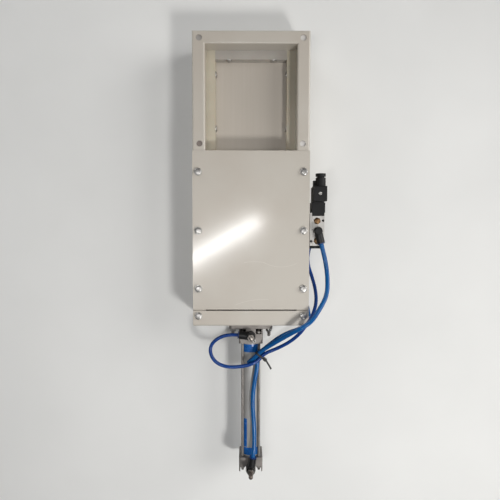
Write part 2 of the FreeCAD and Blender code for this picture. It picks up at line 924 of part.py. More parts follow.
def blade():
    owner = new_body("blade", z=mid_height)
    outline = sketch_on(owner, "XY_Plane")
    draw_rectangle(outline, -blade_half_width, -blade_tail, blade_half_width, blade_tip)
    for x in bracket_bolt_xs:
        draw_circle(outline, x, -bracket_bolt_y, bracket_hole)
    pad(owner, outline, s.blade_thickness, centred=True)
    bevel_edges(owner, s.blade_bevel, along(X_AXIS, y=blade_tip))


def blade_bracket():
    owner = new_body("blade_bracket", z=mid_height)
    block = sketch_on(owner, "XY_Plane")
    draw_rectangle(block, -s.bracket_width / 2, -bracket_rear, s.bracket_width / 2, -bracket_front)
    pad(owner, block, s.bracket_height, centred=True)
    tongue = sketch_on(owner, "XY_Plane")
    draw_rectangle(tongue, -s.tongue_width / 2, -eye_y, s.tongue_width / 2, -(bracket_rear - s.bracket_web))
    pad(owner, tongue, s.tongue_thickness, centred=True)
    eye = draw_circle(sketch_on(owner, "XY_Plane"), 0, -eye_y, s.tongue_width)
    pad(owner, eye, s.tongue_thickness, centred=True)
    slot = sketch_on(owner, "YZ_Plane")
    half = s.blade_thickness / 2
    draw_rectangle(slot, -blade_tail, -half, -bracket_front, half)
    cut_through(owner, slot)
    holes = draw_circle(sketch_on(owner, "XY_Plane"), 0, -eye_y, s.pin_dia + s.pin_fit * 2)
    for x in bracket_bolt_xs:
        draw_circle(holes, x, -bracket_bolt_y, bracket_hole)
    cut_through(owner, holes)


def bracket_bolts():
    nut_height = s.bracket_bolt_head
    bolt = hex_bolt(
        "bracket_bolt",
        s.bracket_bolt_dia,
        s.bracket_height + nut_height,
        s.bracket_bolt_flats,
        s.bracket_bolt_head,
    )
    nut = hex_nut("bracket_nut", s.bracket_bolt_dia, s.bracket_bolt_flats, nut_height)
    top = mid_height + s.bracket_height / 2
    bottom = mid_height - s.bracket_height / 2
    pieces = []
    for x in bracket_bolt_xs:
        pieces.append((bolt, x, -bracket_bolt_y, top, UPRIGHT))
        pieces.append((nut, x, -bracket_bolt_y, bottom, UPSIDE_DOWN))
    group("bracket_bolts", pieces)


def rod_clevis():
    """Fork on the rod's end, drawn about the middle of its pin."""
    owner = new_body("rod_clevis", 0, -eye_y, mid_height)
    half = s.clevis_size / 2
    square = draw_rectangle(sketch_on(owner, "XZ_Plane", -s.clevis_front), -half, -half, half, half)
    pad(owner, square, s.clevis_front + s.clevis_square)
    neck = draw_circle(sketch_on(owner, "XZ_Plane", s.clevis_square), 0, 0, s.clevis_neck_dia)
    pad(owner, neck, s.clevis_length - s.clevis_square)
    slot_half = s.tongue_thickness / 2 + s.fork_fit
    slot_end = s.tongue_width / 2 + s.clevis_slot_gap
    slot = sketch_on(owner, "YZ_Plane")
    draw_rectangle(slot, -slot_end, -slot_half, s.clevis_front, slot_half)
    cut_through(owner, slot)
    cut_through(owner, draw_circle(sketch_on(owner, "XY_Plane"), 0, 0, s.pin_dia + s.pin_fit * 2))
    thread = draw_circle(sketch_on(owner, "XZ_Plane", s.clevis_length), 0, 0, s.rod_thread_dia)
    pocket(owner, thread, s.rod_thread_depth)


def clevis_pin():
    """Plain pin with a snap ring at each end."""
    owner = new_body("clevis_pin", 0, -eye_y, mid_height)
    radius = s.pin_dia / 2
    ring = s.clip_dia / 2
    inside = s.clevis_size / 2
    outside = inside + s.clip_thickness
    end = outside + s.clip_thickness * 2
    turn_upright(
        owner,
        [
            (0, -end),
            (radius, -end),
            (radius, -outside),
            (ring, -outside),
            (ring, -inside),
            (radius, -inside),
            (radius, inside),
            (ring, inside),
            (ring, outside),
            (radius, outside),
            (radius, end),
            (0, end),
        ],
    )


clevis_end = eye_y + s.clevis_length
rod_shoulder = clevis_end + s.rod_nut_height
head_front = plate_face + s.plate_thickness
barrel_front = head_front + s.head_length
barrel_rear = barrel_front + s.barrel_length
cap_rear = barrel_rear + s.cap_length
piston_front = barrel_front + s.spigot_length + s.piston_gap
piston_rear = piston_front + s.piston_length


def rod_nut():
    owner = new_body("rod_nut", 0, -clevis_end, mid_height)
    ring = draw_hexagon(sketch_on(owner, "XZ_Plane"), s.rod_nut_flats)
    pad(owner, draw_circle(ring, 0, 0, s.rod_thread_dia), s.rod_nut_height)


def piston_rod():
    owner = new_body("piston_rod", 0, 0, mid_height)
    thread = s.rod_thread_dia / 2
    radius = s.rod_dia / 2
    turn_lengthwise(
        owner,
        [
            (-(clevis_end - s.rod_thread_depth), 0),
            (-(clevis_end - s.rod_thread_depth), thread),
            (-rod_shoulder, thread),
            (-(rod_shoulder + radius - thread), radius),
            (-piston_front, radius),
            (-piston_front, thread),
            (-piston_rear, thread),
            (-piston_rear, 0),
        ],
    )


def piston():
    owner = new_body("piston", 0, 0, mid_height)
    bore = s.rod_thread_dia / 2
    radius = s.bore_dia / 2 - s.piston_clearance
    floor = s.bore_dia / 2 - s.ring_depth
    front_ring = piston_front + s.ring_edge
    rear_ring = piston_rear - s.ring_edge
    turn_lengthwise(
        owner,
        [
            (-piston_front, bore),
            (-piston_front, radius),
            (-front_ring, radius),
            (-front_ring, floor),
            (-(front_ring + s.ring_width), floor),
            (-(front_ring + s.ring_width), radius),
            (-(rear_ring - s.ring_width), radius),
            (-(rear_ring - s.ring_width), floor),
            (-rear_ring, floor),
            (-rear_ring, radius),
            (-piston_rear, radius),
            (-piston_rear, bore),
        ],
    )


def piston_seals():
    ring = new_body("piston_ring", is_node=False)
    inside = s.bore_dia / 2 - s.ring_depth
    outside = s.bore_dia / 2 - s.running_fit
    turn_lengthwise(ring, [(0, inside), (0, outside), (-s.ring_width, outside), (-s.ring_width, inside)])
    front = -(piston_front + s.ring_edge)
    rear = -(piston_rear - s.ring_edge - s.ring_width)
    group("piston_seals", [(ring, 0, y, mid_height, UPRIGHT) for y in (front, rear)])


# Cylinder, drawn about its axis
tie_corners = [(s.tie_pitch / 2 * u, s.tie_pitch / 2 * v) for u in (1, -1) for v in (1, -1)]
plate_bolts = [(s.plate_bolt_span / 2 * u, s.plate_bolt_rise / 2 * v) for u in (1, -1) for v in (1, -1)]
front_port_y = head_front + s.front_port_setback
rear_port_y = barrel_rear + s.rear_port_setback
head_top = mid_height + s.head_size / 2
front_cushion_y = barrel_front - s.cushion_setback
rear_cushion_y = barrel_rear + s.cushion_setback
cushion_hole = s.cushion_dia + s.cushion_gap * 2
port_hole = s.port_dia + s.port_gap * 2
bush_dia = s.rod_dia + s.running_fit * 2 + s.bush_wall * 2
spigot_dia = s.bore_dia - s.spigot_fit * 2


def cylinder_flange():
    owner = new_body("cylinder_flange", 0, 0, mid_height)
    outline = sketch_on(owner, "XZ_Plane", plate_face)
    half_length = s.plate_length / 2
    half_height = s.plate_height / 2
    draw_rectangle(outline, -half_length, -half_height, half_length, half_height)
    pad(owner, outline, s.plate_thickness)
    round_edges(owner, s.plate_corner, along(Y_AXIS))
    holes = draw_circle(sketch_on(owner, "XZ_Plane"), 0, 0, s.collar_dia + s.collar_gap * 2)
    for x, z in plate_bolts:
        draw_circle(holes, x, z, bolt_hole)
    cut_through(owner, holes)


def flange_bolts():
    """Bolts from inside the chamber, with their nuts on the cylinder's side."""
    length = s.sheet_wall + s.plate_thickness + s.plate_bolt_tail
    bolt = hex_bolt("plate_bolt", s.bolt_dia, length, s.bolt_head_flats, s.bolt_head_height)
    nut = hex_nut("plate_nut", s.bolt_dia, s.bolt_head_flats, s.bolt_nut_height)
    head_inside = FreeCAD.Rotation(X_AXIS, -90)
    nut_outside = FreeCAD.Rotation(X_AXIS, 90)
    pieces = []
    for x, z in plate_bolts:
        pieces.append((bolt, x, -body_rear, mid_height + z, head_inside))
        pieces.append((nut, x, -head_front, mid_height + z, nut_outside))
    group("flange_bolts", pieces)


def head_block(name, front, length, open_at_front):
    """Square cylinder head with an upright slot on each side for the tie rods' nuts."""
    owner = new_body(name, 0, 0, mid_height)
    half = s.head_size / 2
    pad(owner, draw_rectangle(sketch_on(owner, "XZ_Plane", front), -half, -half, half, half), length)
    round_edges(owner, s.head_corner, along(Y_AXIS))
    slot_floor = front + s.slot_depth if open_at_front else front + length - s.slot_depth
    slots = sketch_on(owner, "XZ_Plane", slot_floor)
    outer = half - s.slot_wall
    for side in (1, -1):
        draw_rectangle(slots, side * (outer - s.slot_width), -half, side * outer, half)
    pocket(owner, slots, s.slot_depth, reverse=not open_at_front)
    rods = sketch_on(owner, "XZ_Plane")
    for x, z in tie_corners:
        draw_circle(rods, x, z, s.tie_dia + s.tie_hole_gap * 2)
    cut_through(owner, rods)
    return owner


def head_ports(owner, port_y, cushion_y):
    """Air port and cushion screw hole in a head's top face."""
    top = s.head_size / 2
    port = draw_circle(sketch_on(owner, "XY_Plane", top), 0, -port_y, port_hole)
    pocket(owner, port, top - s.rod_dia / 2)
    cushion = draw_circle(sketch_on(owner, "XY_Plane", top), s.cushion_offset, -cushion_y, cushion_hole)
    pocket(owner, cushion, s.cushion_depth)


def front_head():
    owner = head_block("front_head", head_front, s.head_length, True)
    collar = draw_circle(sketch_on(owner, "XZ_Plane", head_front), 0, 0, s.collar_dia)
    pad(owner, collar, s.collar_length, reverse=True)
    spigot = draw_circle(sketch_on(owner, "XZ_Plane", barrel_front), 0, 0, spigot_dia)
    pad(owner, spigot, s.spigot_length)
    cut_through(owner, draw_circle(sketch_on(owner, "XZ_Plane"), 0, 0, bush_dia))
    head_ports(owner, front_port_y, front_cushion_y)


def rear_cap():
    owner = head_block("rear_cap", barrel_rear, s.cap_length, False)
    spigot = draw_circle(sketch_on(owner, "XZ_Plane", barrel_rear), 0, 0, spigot_dia)
    pad(owner, spigot, s.spigot_length, reverse=True)
    recess = draw_circle(sketch_on(owner, "XZ_Plane", barrel_rear - s.spigot_length), 0, 0, bush_dia)
    pocket(owner, recess, s.spigot_length + s.rear_port_setback, reverse=True)
    head_ports(owner, rear_port_y, rear_cushion_y)


def rod_bush():
    owner = new_body("rod_bush", 0, -(head_front - s.collar_length), mid_height)
    inside = s.rod_dia / 2 + s.running_fit
    outside = bush_dia / 2
    turn_lengthwise(owner, [(0, inside), (0, outside), (-s.bush_length, outside), (-s.bush_length, inside)])


def barrel():
    owner = new_body("barrel", 0, 0, mid_height)
    inside = s.bore_dia / 2
    outside = inside + s.barrel_wall
    start = -barrel_front
    end = -barrel_rear
    turn_lengthwise(owner, [(start, inside), (start, outside), (end, outside), (end, inside)])


def tie_rods():
    """Four rods with a nut at each end, in the heads' slots."""
    front_nut = head_front + s.slot_depth
    rear_nut = cap_rear - s.slot_depth
    tail = s.tie_nut_height + s.tie_tail
    rod = new_body("tie_rod", is_node=False)
    pad(rod, draw_circle(sketch_on(rod, "XZ_Plane"), 0, 0, s.tie_dia), rear_nut - front_nut + tail * 2)
    nut = hex_nut("tie_nut", s.tie_dia, s.tie_nut_flats, s.tie_nut_height)
    flats_to_sides = FreeCAD.Rotation(Z_AXIS, 30)
    towards_front = FreeCAD.Rotation(X_AXIS, -90).multiply(flats_to_sides)
    towards_rear = FreeCAD.Rotation(X_AXIS, 90).multiply(flats_to_sides)
    pieces = []
    for x, z in tie_corners:
        pieces.append((rod, x, -(front_nut - tail), mid_height + z, UPRIGHT))
        pieces.append((nut, x, -front_nut, mid_height + z, towards_front))
        pieces.append((nut, x, -rear_nut, mid_height + z, towards_rear))
    group("tie_rods", pieces)


def cushion_screw(name, y):
    """Socket screw, flush in the head's top face."""
    owner = new_body(name, s.cushion_offset, -y, head_top)
    length = s.cushion_depth - s.cushion_gap
    pad(owner, draw_circle(sketch_on(owner, "XY_Plane"), 0, 0, s.cushion_dia), length, reverse=True)
    pocket(owner, draw_hexagon(sketch_on(owner, "XY_Plane"), s.cushion_socket), s.cushion_socket_depth)


def push_in_arm(owner, rise, tube_size):
    """Round arm along -Y with a stepped socket for the tube and its release collet."""
    pad(owner, draw_circle(sketch_on(owner, "XZ_Plane"), 0, rise, s.arm_dia), s.arm_length)
    socket = draw_circle(sketch_on(owner, "XZ_Plane", s.arm_length), 0, rise, tube_size + s.tube_fit * 2)
    pocket(owner, socket, s.socket_depth)
    room_dia = s.collet_dia + s.collet_gap * 2
    collet_room = draw_circle(sketch_on(owner, "XZ_Plane", s.arm_length), 0, rise, room_dia)
    pocket(owner, collet_room, s.collet_sleeve + s.collet_stand)


def collet(name, x, y, z, rotation, rise, tube_size):
    """Release ring round the tube, standing off the arm's end by its travel."""
    owner = new_body(name, x, y, z, rotation)
    inside = tube_size / 2 + s.collet_gap
    sleeve = s.collet_dia / 2
    flange = s.collet_flange_dia / 2
    shoulder = s.arm_length + s.collet_stand
    profile = sketch_on(owner, "YZ_Plane")
    draw_polygon(
        profile,
        [
            (-(s.arm_length - s.collet_sleeve), rise + inside),
            (-(s.arm_length - s.collet_sleeve), rise + sleeve),
            (-shoulder, rise + sleeve),
            (-shoulder, rise + flange),
            (-(shoulder + s.collet_flange), rise + flange),
            (-(shoulder + s.collet_flange), rise + inside),
        ],
    )
    line = Part.LineSegment(FreeCAD.Vector(0, number(rise), 0), FreeCAD.Vector(-1, number(rise), 0))
    axis = profile.addGeometry(line)
    profile.toggleConstruction(axis)
    pin_point(profile, axis, 1, 0, rise)
    pin_point(profile, axis, 2, -1, rise)
    ring = owner.newObject("PartDesign::Revolution", f"{name}_turned")
    ring.Profile = profile
    ring.ReferenceAxis = (profile, ["Axis0"])
    ring.Angle = 360


def elbow(name, x, y, z, rotation, rise, tube_size, is_node=True):
    """Push-in elbow: a stem in the port, an upright hub and one arm."""
    owner = new_body(name, x, y, z, rotation, is_node)
    stem = s.port_dia / 2
    hub = s.hub_dia / 2
    top = rise + s.hub_top
    turn_upright(
        owner,
        [
            (0, -s.stem_length),
            (stem, -s.stem_length),
            (stem, 0),
            (hub, 0),
            (hub, top - hub / 4),
            (hub - hub / 4, top),
            (0, top),
        ],
    )
    push_in_arm(owner, rise, tube_size)
    return owner


def turned_about_z(angle, base=UPRIGHT):
    return FreeCAD.Rotation(Z_AXIS, angle).multiply(base)


def flow_control(prefix, y, angle, tube_size, knob_length):
    """Banjo with a hollow bolt and a needle screw with a knob of its own length."""
    rotation = turned_about_z(angle)
    rise = s.banjo_rise
    body = new_body(f"{prefix}_banjo", 0, -y, head_top, rotation)
    ring = draw_circle(sketch_on(body, "XY_Plane"), 0, 0, s.banjo_ring_dia)
    pad(body, ring, s.banjo_height)
    push_in_arm(body, rise, tube_size)
    cut_through(body, draw_circle(sketch_on(body, "XY_Plane"), 0, 0, s.banjo_bolt_dia + s.port_gap * 2))
    bolt = new_body(f"{prefix}_banjo_bolt", 0, -y, head_top)
    shaft = s.banjo_bolt_dia / 2
    hex_base = s.banjo_height
    hex_top = hex_base + s.banjo_hex_height
    pad(bolt, draw_circle(sketch_on(bolt, "XY_Plane"), 0, 0, s.port_dia), s.stem_length, reverse=True)
    pad(bolt, draw_circle(sketch_on(bolt, "XY_Plane"), 0, 0, shaft * 2), hex_base)
    pad(bolt, draw_hexagon(sketch_on(bolt, "XY_Plane", hex_base), s.banjo_hex_flats), s.banjo_hex_height)
    hole = draw_circle(sketch_on(bolt, "XY_Plane", hex_top), 0, 0, s.needle_dia + s.needle_gap * 2)
    pocket(bolt, hole, s.needle_depth + s.needle_gap)
    needle = new_body(f"{prefix}_needle", 0, -y, head_top + hex_top)
    radius = s.needle_dia / 2
    knob = s.knob_dia / 2
    knob_top = s.knob_gap + knob_length
    turn_upright(
        needle,
        [
            (0, -s.needle_depth),
            (radius / 2, -s.needle_depth),
            (radius, -s.needle_depth + radius),
            (radius, s.knob_gap),
            (knob, s.knob_gap),
            (knob, knob_top - s.knob_edge),
            (knob - s.knob_edge, knob_top),
            (0, knob_top),
        ],
    )
    slot = sketch_on(needle, "XY_Plane", knob_top)
    draw_rectangle(slot, -knob, -s.needle_slot / 2, knob, s.needle_slot / 2)
    pocket(needle, slot, s.needle_slot_depth)
    collet(f"{prefix}_collet", 0, -y, head_top, rotation, rise, tube_size)


# Valve pieces are drawn about the middle of the valve's underside
valve_half_width = s.valve_width / 2
valve_half_length = s.valve_length / 2
port_a_y = s.valve_port_pitch / 2
port_b_y = -port_a_y
spool_z = s.valve_height / 2
coil_start = valve_half_length + s.pilot_length
coil_end = coil_start + s.coil_length
coil_x = s.coil_offset
valve_hole_x = s.valve_hole_span / 2
valve_hole_y = s.valve_hole_length / 2
valve_holes = [(valve_hole_x, valve_hole_y), (-valve_hole_x, -valve_hole_y)]


def valve_part(name):
    return new_body(name, valve_x, valve_y, s.valve_bottom)


def valve_bracket():
    """Angle bracket on the body's wall with a window for the fittings under the valve."""
    owner = new_body("valve_bracket", 0, valve_y, 0)
    low = s.valve_bottom - s.bracket_drop
    seat = s.valve_bottom - s.bracket_sheet
    reach = flange_edge + s.valve_wall_gap + s.valve_width
    section = sketch_on(owner, "XZ_Plane")
    draw_polygon(
        section,
        [
            (flange_edge, low),
            (flange_edge + s.bracket_sheet, low),
            (flange_edge + s.bracket_sheet, seat),
            (reach, seat),
            (reach, s.valve_bottom),
            (flange_edge, s.valve_bottom),
        ],
    )
    pad(owner, section, s.valve_length, centred=True)
    window = sketch_on(owner, "XY_Plane", s.valve_bottom)
    half_width = s.bracket_window_width / 2
    half_length = s.bracket_window_length / 2
    draw_rectangle(window, valve_x - half_width, -half_length, valve_x + half_width, half_length)
    for x, y in valve_holes:
        draw_circle(window, valve_x + x, y, s.valve_hole_dia)
    pocket(owner, window, s.bracket_sheet)
    wall_holes = sketch_on(owner, "YZ_Plane", flange_edge + s.bracket_sheet)
    for side in (1, -1):
        draw_circle(wall_holes, side * s.wall_bolt_pitch / 2, wall_bolt_z, s.wall_bolt_dia)
    pocket(owner, wall_holes, s.bracket_sheet)


def valve_screws():
    """Wall bolts of the bracket, and the screws that hold the valve from below."""
    wall_bolt = hex_bolt(
        "wall_bolt",
        s.wall_bolt_dia,
        s.bracket_sheet + s.sheet_wall,
        s.wall_bolt_flats,
        s.wall_bolt_head,
    )
    screw = new_body("valve_screw", is_node=False)
    pad(screw, draw_circle(sketch_on(screw, "XY_Plane"), 0, 0, s.valve_screw_head_dia), s.valve_screw_head)
    shank = draw_circle(sketch_on(screw, "XY_Plane"), 0, 0, s.valve_screw_dia)
    pad(screw, shank, s.valve_screw_length, reverse=True)
    outward = FreeCAD.Rotation(Y_AXIS, 90)
    seat = s.valve_bottom - s.bracket_sheet
    pieces = [(wall_bolt, flange_edge + s.bracket_sheet, y, wall_bolt_z, outward) for y in wall_bolt_ys]
    pieces += [(screw, valve_x + x, valve_y + y, seat, UPSIDE_DOWN) for x, y in valve_holes]
    group("valve_screws", pieces)


def valve_body():
    """Five-port block with a lug beside the pilot, and a shallow groove along its top beside the lug."""
    owner = valve_part("valve_body")
    lug = valve_half_length + s.valve_tab_length
    outline = sketch_on(owner, "XY_Plane")
    draw_polygon(
        outline,
        [
            (-valve_half_width, -valve_half_length),
            (valve_half_width, -valve_half_length),
            (valve_half_width, valve_half_length),
            (-valve_half_width + s.valve_tab_width, valve_half_length),
            (-valve_half_width + s.valve_tab_width, lug),
            (-valve_half_width, lug),
        ],
    )
    for x, y in valve_holes:
        draw_circle(outline, x, y, s.valve_hole_dia)
    pad(owner, outline, s.valve_height)
    cut_through(owner, draw_circle(sketch_on(owner, "XZ_Plane"), 0, spool_z, s.spool_dia))
    top_ports = sketch_on(owner, "XY_Plane", s.valve_height)
    for step in (-1, 0, 1):
        draw_circle(top_ports, 0, step * s.valve_port_pitch, port_hole)
    pocket(owner, top_ports, spool_z)
    low_ports = sketch_on(owner, "XY_Plane")
    for y in (port_a_y, port_b_y):
        draw_circle(low_ports, 0, y, port_hole)
    pocket(owner, low_ports, spool_z, reverse=True)
    groove = sketch_on(owner, "XY_Plane", s.valve_height)
    groove_x = -valve_half_width + s.valve_tab_width
    draw_rectangle(groove, groove_x, -valve_half_length, groove_x + s.valve_groove_width, valve_half_length)
    pocket(owner, groove, s.valve_groove_depth)


def valve_spool():
    """Spool with four lands, resting at the pilot's end of its bore."""
    start_y = valve_y + valve_half_length - s.spool_end_gap
    owner = new_body("valve_spool", valve_x, start_y, s.valve_bottom + spool_z)
    land = s.spool_dia / 2 - s.running_fit
    neck = s.spool_neck_dia / 2
    length = s.valve_length - s.spool_end_gap * 2 - s.spool_travel
    gap = (length - s.spool_land * 4) / 3
    points = [(0, 0)]
    for index in range(4):
        start = (s.spool_land + gap) * index
        if index:
            points.append((-start, neck))
        points.append((-start, land))
        points.append((-(start + s.spool_land), land))
        if index < 3:
            points.append((-(start + s.spool_land), neck))
    points.append((-length, 0))
    turn_lengthwise(owner, points)


def valve_end_cap():
    owner = valve_part("valve_end_cap")
    face = sketch_on(owner, "XZ_Plane", valve_half_length)
    draw_rectangle(face, -valve_half_width, 0, valve_half_width, s.valve_height)
    pad(owner, face, s.valve_cap_length)
    round_edges(owner, s.valve_cap_length / 4, along(X_AXIS, y=-valve_half_length - s.valve_cap_length))


def pilot_coil():
    """Pilot head on the valve's end, the wider coil beyond the lug, and its core under the plug."""
    owner = valve_part("pilot_coil")
    left = -valve_half_width + s.valve_tab_width
    pilot = sketch_on(owner, "XZ_Plane", -valve_half_length)
    draw_rectangle(pilot, left, 0, valve_half_width, s.valve_height)
    pad(owner, pilot, s.pilot_length, reverse=True)
    coil = sketch_on(owner, "XZ_Plane", -coil_start)
    draw_rectangle(coil, coil_x - s.coil_width / 2, 0, coil_x + s.coil_width / 2, s.valve_height)
    pad(owner, coil, s.coil_length, reverse=True)
    core = sketch_on(owner, "XZ_Plane", -coil_end)
    draw_rectangle(core, coil_x - s.core_width / 2, 0, coil_x + s.core_width / 2, s.valve_height)
    pad(owner, core, s.core_length, reverse=True)
    button_hole = sketch_on(owner, "YZ_Plane", valve_half_width)
    hole_dia = s.override_dia + s.collet_gap * 2
    draw_circle(button_hole, valve_half_length + s.pilot_length / 2, spool_z, hole_dia)
    pocket(owner, button_hole, s.override_depth)


def manual_override():
    """Push button in the pilot's outer side."""
    owner = new_body(
        "manual_override",
        valve_x + valve_half_width,
        valve_y + valve_half_length + s.pilot_length / 2,
        s.valve_bottom + spool_z,
    )
    button = draw_circle(sketch_on(owner, "YZ_Plane", s.override_stand), 0, 0, s.override_dia)
    length = s.override_stand + s.override_depth - s.override_travel - s.collet_gap
    pad(owner, button, length, reverse=True)


plug_near = coil_start + s.plug_start
plug_far = plug_near + s.plug_length
plug_axis_z = s.valve_height + s.plug_gap + s.plug_height / 2
boss_far = plug_far + s.plug_shoulder + s.plug_boss
boss_x = coil_x + s.boss_offset
plug_middle = (plug_near + plug_far) / 2


def connector_housing():
    """Square plug on the coil's core, with a low shoulder and a round boss for the gland."""
    owner = valve_part("connector_housing")
    base = s.valve_height + s.plug_gap
    left = coil_x - s.plug_width / 2
    right = coil_x + s.plug_width / 2
    block = draw_rectangle(sketch_on(owner, "XY_Plane", base), left, plug_near, right, plug_far)
    pad(owner, block, s.plug_height)
    round_edges(owner, s.plug_round, along(X_AXIS, z=base + s.plug_height))
    shoulder_half = s.plug_shoulder_width / 2
    shoulder = sketch_on(owner, "XZ_Plane", -plug_far)
    draw_rectangle(shoulder, coil_x - shoulder_half, base, coil_x + shoulder_half, plug_axis_z)
    pad(owner, shoulder, s.plug_shoulder, reverse=True)
    boss = draw_circle(sketch_on(owner, "XZ_Plane", -plug_far), boss_x, plug_axis_z, s.plug_boss_dia)
    pad(owner, boss, s.plug_shoulder + s.plug_boss, reverse=True)
    foot = sketch_on(owner, "XY_Plane", s.valve_height)
    inset = s.plug_foot_inset
    draw_rectangle(foot, left + inset, plug_near + inset, right - inset, plug_far - inset)
    pad(owner, foot, s.plug_gap)
    bore = draw_circle(sketch_on(owner, "XZ_Plane", -boss_far), boss_x, plug_axis_z, s.gland_bore)
    pocket(owner, bore, s.plug_boss + s.plug_shoulder)
    seat = sketch_on(owner, "XY_Plane", base + s.plug_height)
    draw_circle(seat, coil_x, plug_middle, s.plug_screw_head + s.collet_gap * 2)
    pocket(owner, seat, s.plug_screw_height)


def connector_screw():
    seat = valve_top + s.plug_gap + s.plug_height - s.plug_screw_height
    owner = new_body("connector_screw", valve_x + coil_x, valve_y + plug_middle, seat)
    half = s.plug_screw_head / 2
    pad(owner, draw_circle(sketch_on(owner, "XY_Plane"), 0, 0, s.plug_screw_head), s.plug_screw_height)
    slot = sketch_on(owner, "XY_Plane", s.plug_screw_height)
    draw_rectangle(slot, -half, -s.plug_screw_slot / 2, half, s.plug_screw_slot / 2)
    pocket(owner, slot, s.plug_screw_slot_depth)


def gland_nut():
    """Flanged clamp nut on the plug's boss, with the empty cable bore."""
    owner = new_body("gland_nut", valve_x + boss_x, valve_y + boss_far, s.valve_bottom + plug_axis_z)
    neck = s.gland_neck_dia / 2
    flange = s.gland_flange_dia / 2
    bore = s.gland_bore / 2
    end = s.gland_neck + s.gland_flange
    turn_lengthwise(
        owner,
        [(0, bore), (0, neck), (s.gland_neck, neck), (s.gland_neck, flange), (end, flange), (end, bore)],
    )


def silencers():
    """Sintered brass silencers in the two exhaust ports."""
    plug = new_body("silencer", is_node=False)
    stem = s.port_dia / 2
    rim = s.silencer_dia / 2
    dome = s.silencer_dome_dia / 2
    top = s.silencer_rim + s.silencer_dome
    turn_upright(
        plug,
        [
            (0, -s.stem_length),
            (stem, -s.stem_length),
            (stem, 0),
            (rim, 0),
            (rim, s.silencer_rim),
            (dome, s.silencer_rim),
            (dome / 2, top),
            (0, top),
        ],
    )
    spots = [valve_y - s.valve_port_pitch, valve_y + s.valve_port_pitch]
    group("silencers", [(plug, valve_x, y, valve_top, UPRIGHT) for y in spots])


def valve_fittings():
    supply_turn = turned_about_z(SUPPLY_TURN)
    elbow("supply_elbow", valve_x, valve_y, valve_top, supply_turn, s.arm_rise, s.tube_dia)
    collet("supply_collet", valve_x, valve_y, valve_top, supply_turn, s.arm_rise, s.tube_dia)
    turn_a = turned_about_z(PORT_A_TURN, UPSIDE_DOWN)
    turn_b = turned_about_z(PORT_B_TURN, UPSIDE_DOWN)
    spot_a = (valve_x, valve_y + port_a_y, s.valve_bottom, turn_a)
    spot_b = (valve_x, valve_y + port_b_y, s.valve_bottom, turn_b)
    elbow_a = elbow("port_elbow_a", 0, 0, 0, UPRIGHT, s.port_a_rise, s.tube_dia, is_node=False)
    elbow_b = elbow("port_elbow_b", 0, 0, 0, UPRIGHT, s.port_b_rise, s.front_tube_dia, is_node=False)
    group("port_elbows", [(elbow_a, *spot_a), (elbow_b, *spot_b)])
    collet("port_collet_a", *spot_a, s.port_a_rise, s.tube_dia)
    collet("port_collet_b", *spot_b, s.port_b_rise, s.front_tube_dia)


def tube(name, route, diameter):
    """Round tube along straight runs joined by tangent arcs as large as the runs allow."""
    points = [FreeCAD.Vector(*point) for point in route]
    edges = []
    radii = []
    start = points[0]
    for before, corner, after in zip(points, points[1:], points[2:]):
        into = corner - before
        out = after - corner
        reach = 0.45 * min(into.Length, out.Length)
        half_turn = into.getAngle(out) / 2
        radius = reach / math.tan(half_turn)
        radii.append(radius)
        first = corner - into.normalize() * reach
        last = corner + out.normalize() * reach
        inward = (out - into).normalize()
        middle = corner + inward * (radius / math.cos(half_turn) - radius)
        edges.append(Part.LineSegment(start, first).toShape())
        edges.append(Part.Arc(first, middle, last).toShape())
        start = last
    edges.append(Part.LineSegment(start, points[-1]).toShape())
    path = Part.Wire(edges)
    direction = points[1] - points[0]
    radius = number(diameter) / 2
    ring = Part.Wire(Part.Circle(points[0], direction, radius).toShape())
    solid = path.makePipeShell([ring], True, False)
    area = math.pi * radius**2
    print(f"{name}: length {path.Length:.1f} mm, tightest radius {min(radii):.1f} mm,", end=" ")
    print("radii", [round(radius) for radius in radii], end=" ")
    print(f"volume over section times length {solid.Volume / (area * path.Length):.4f}")
    feature = doc.addObject("Part::Feature", name)
    feature.Label = name
    feature.Shape = solid
    feature.Placement = FreeCAD.Placement()
    nodes.append(feature)


def tie_corner_points(margin):
    """Corners of the triangle round the three tubes, each side at the margin from their centres."""
    rise = TIE_TOP + TIE_BOTTOM
    slant = math.hypot(TIE_SPREAD, rise)
    corner_x = TIE_SPREAD + margin * (slant + TIE_SPREAD) / rise
    bottom = -TIE_BOTTOM - margin * slant / TIE_SPREAD
    return [(-corner_x, TIE_TOP + margin), (corner_x, TIE_TOP + margin), (0, bottom)]


def tie_block(name, margin, width):
    """Rounded triangular block: the outline of a strap pulled round the tubes at the margin."""
    owner = new_body(name, is_node=False)
    pad(owner, draw_polygon(sketch_on(owner, "XZ_Plane"), tie_corner_points(margin)), width, centred=True)
    round_edges(owner, margin, along(Y_AXIS))
    return owner


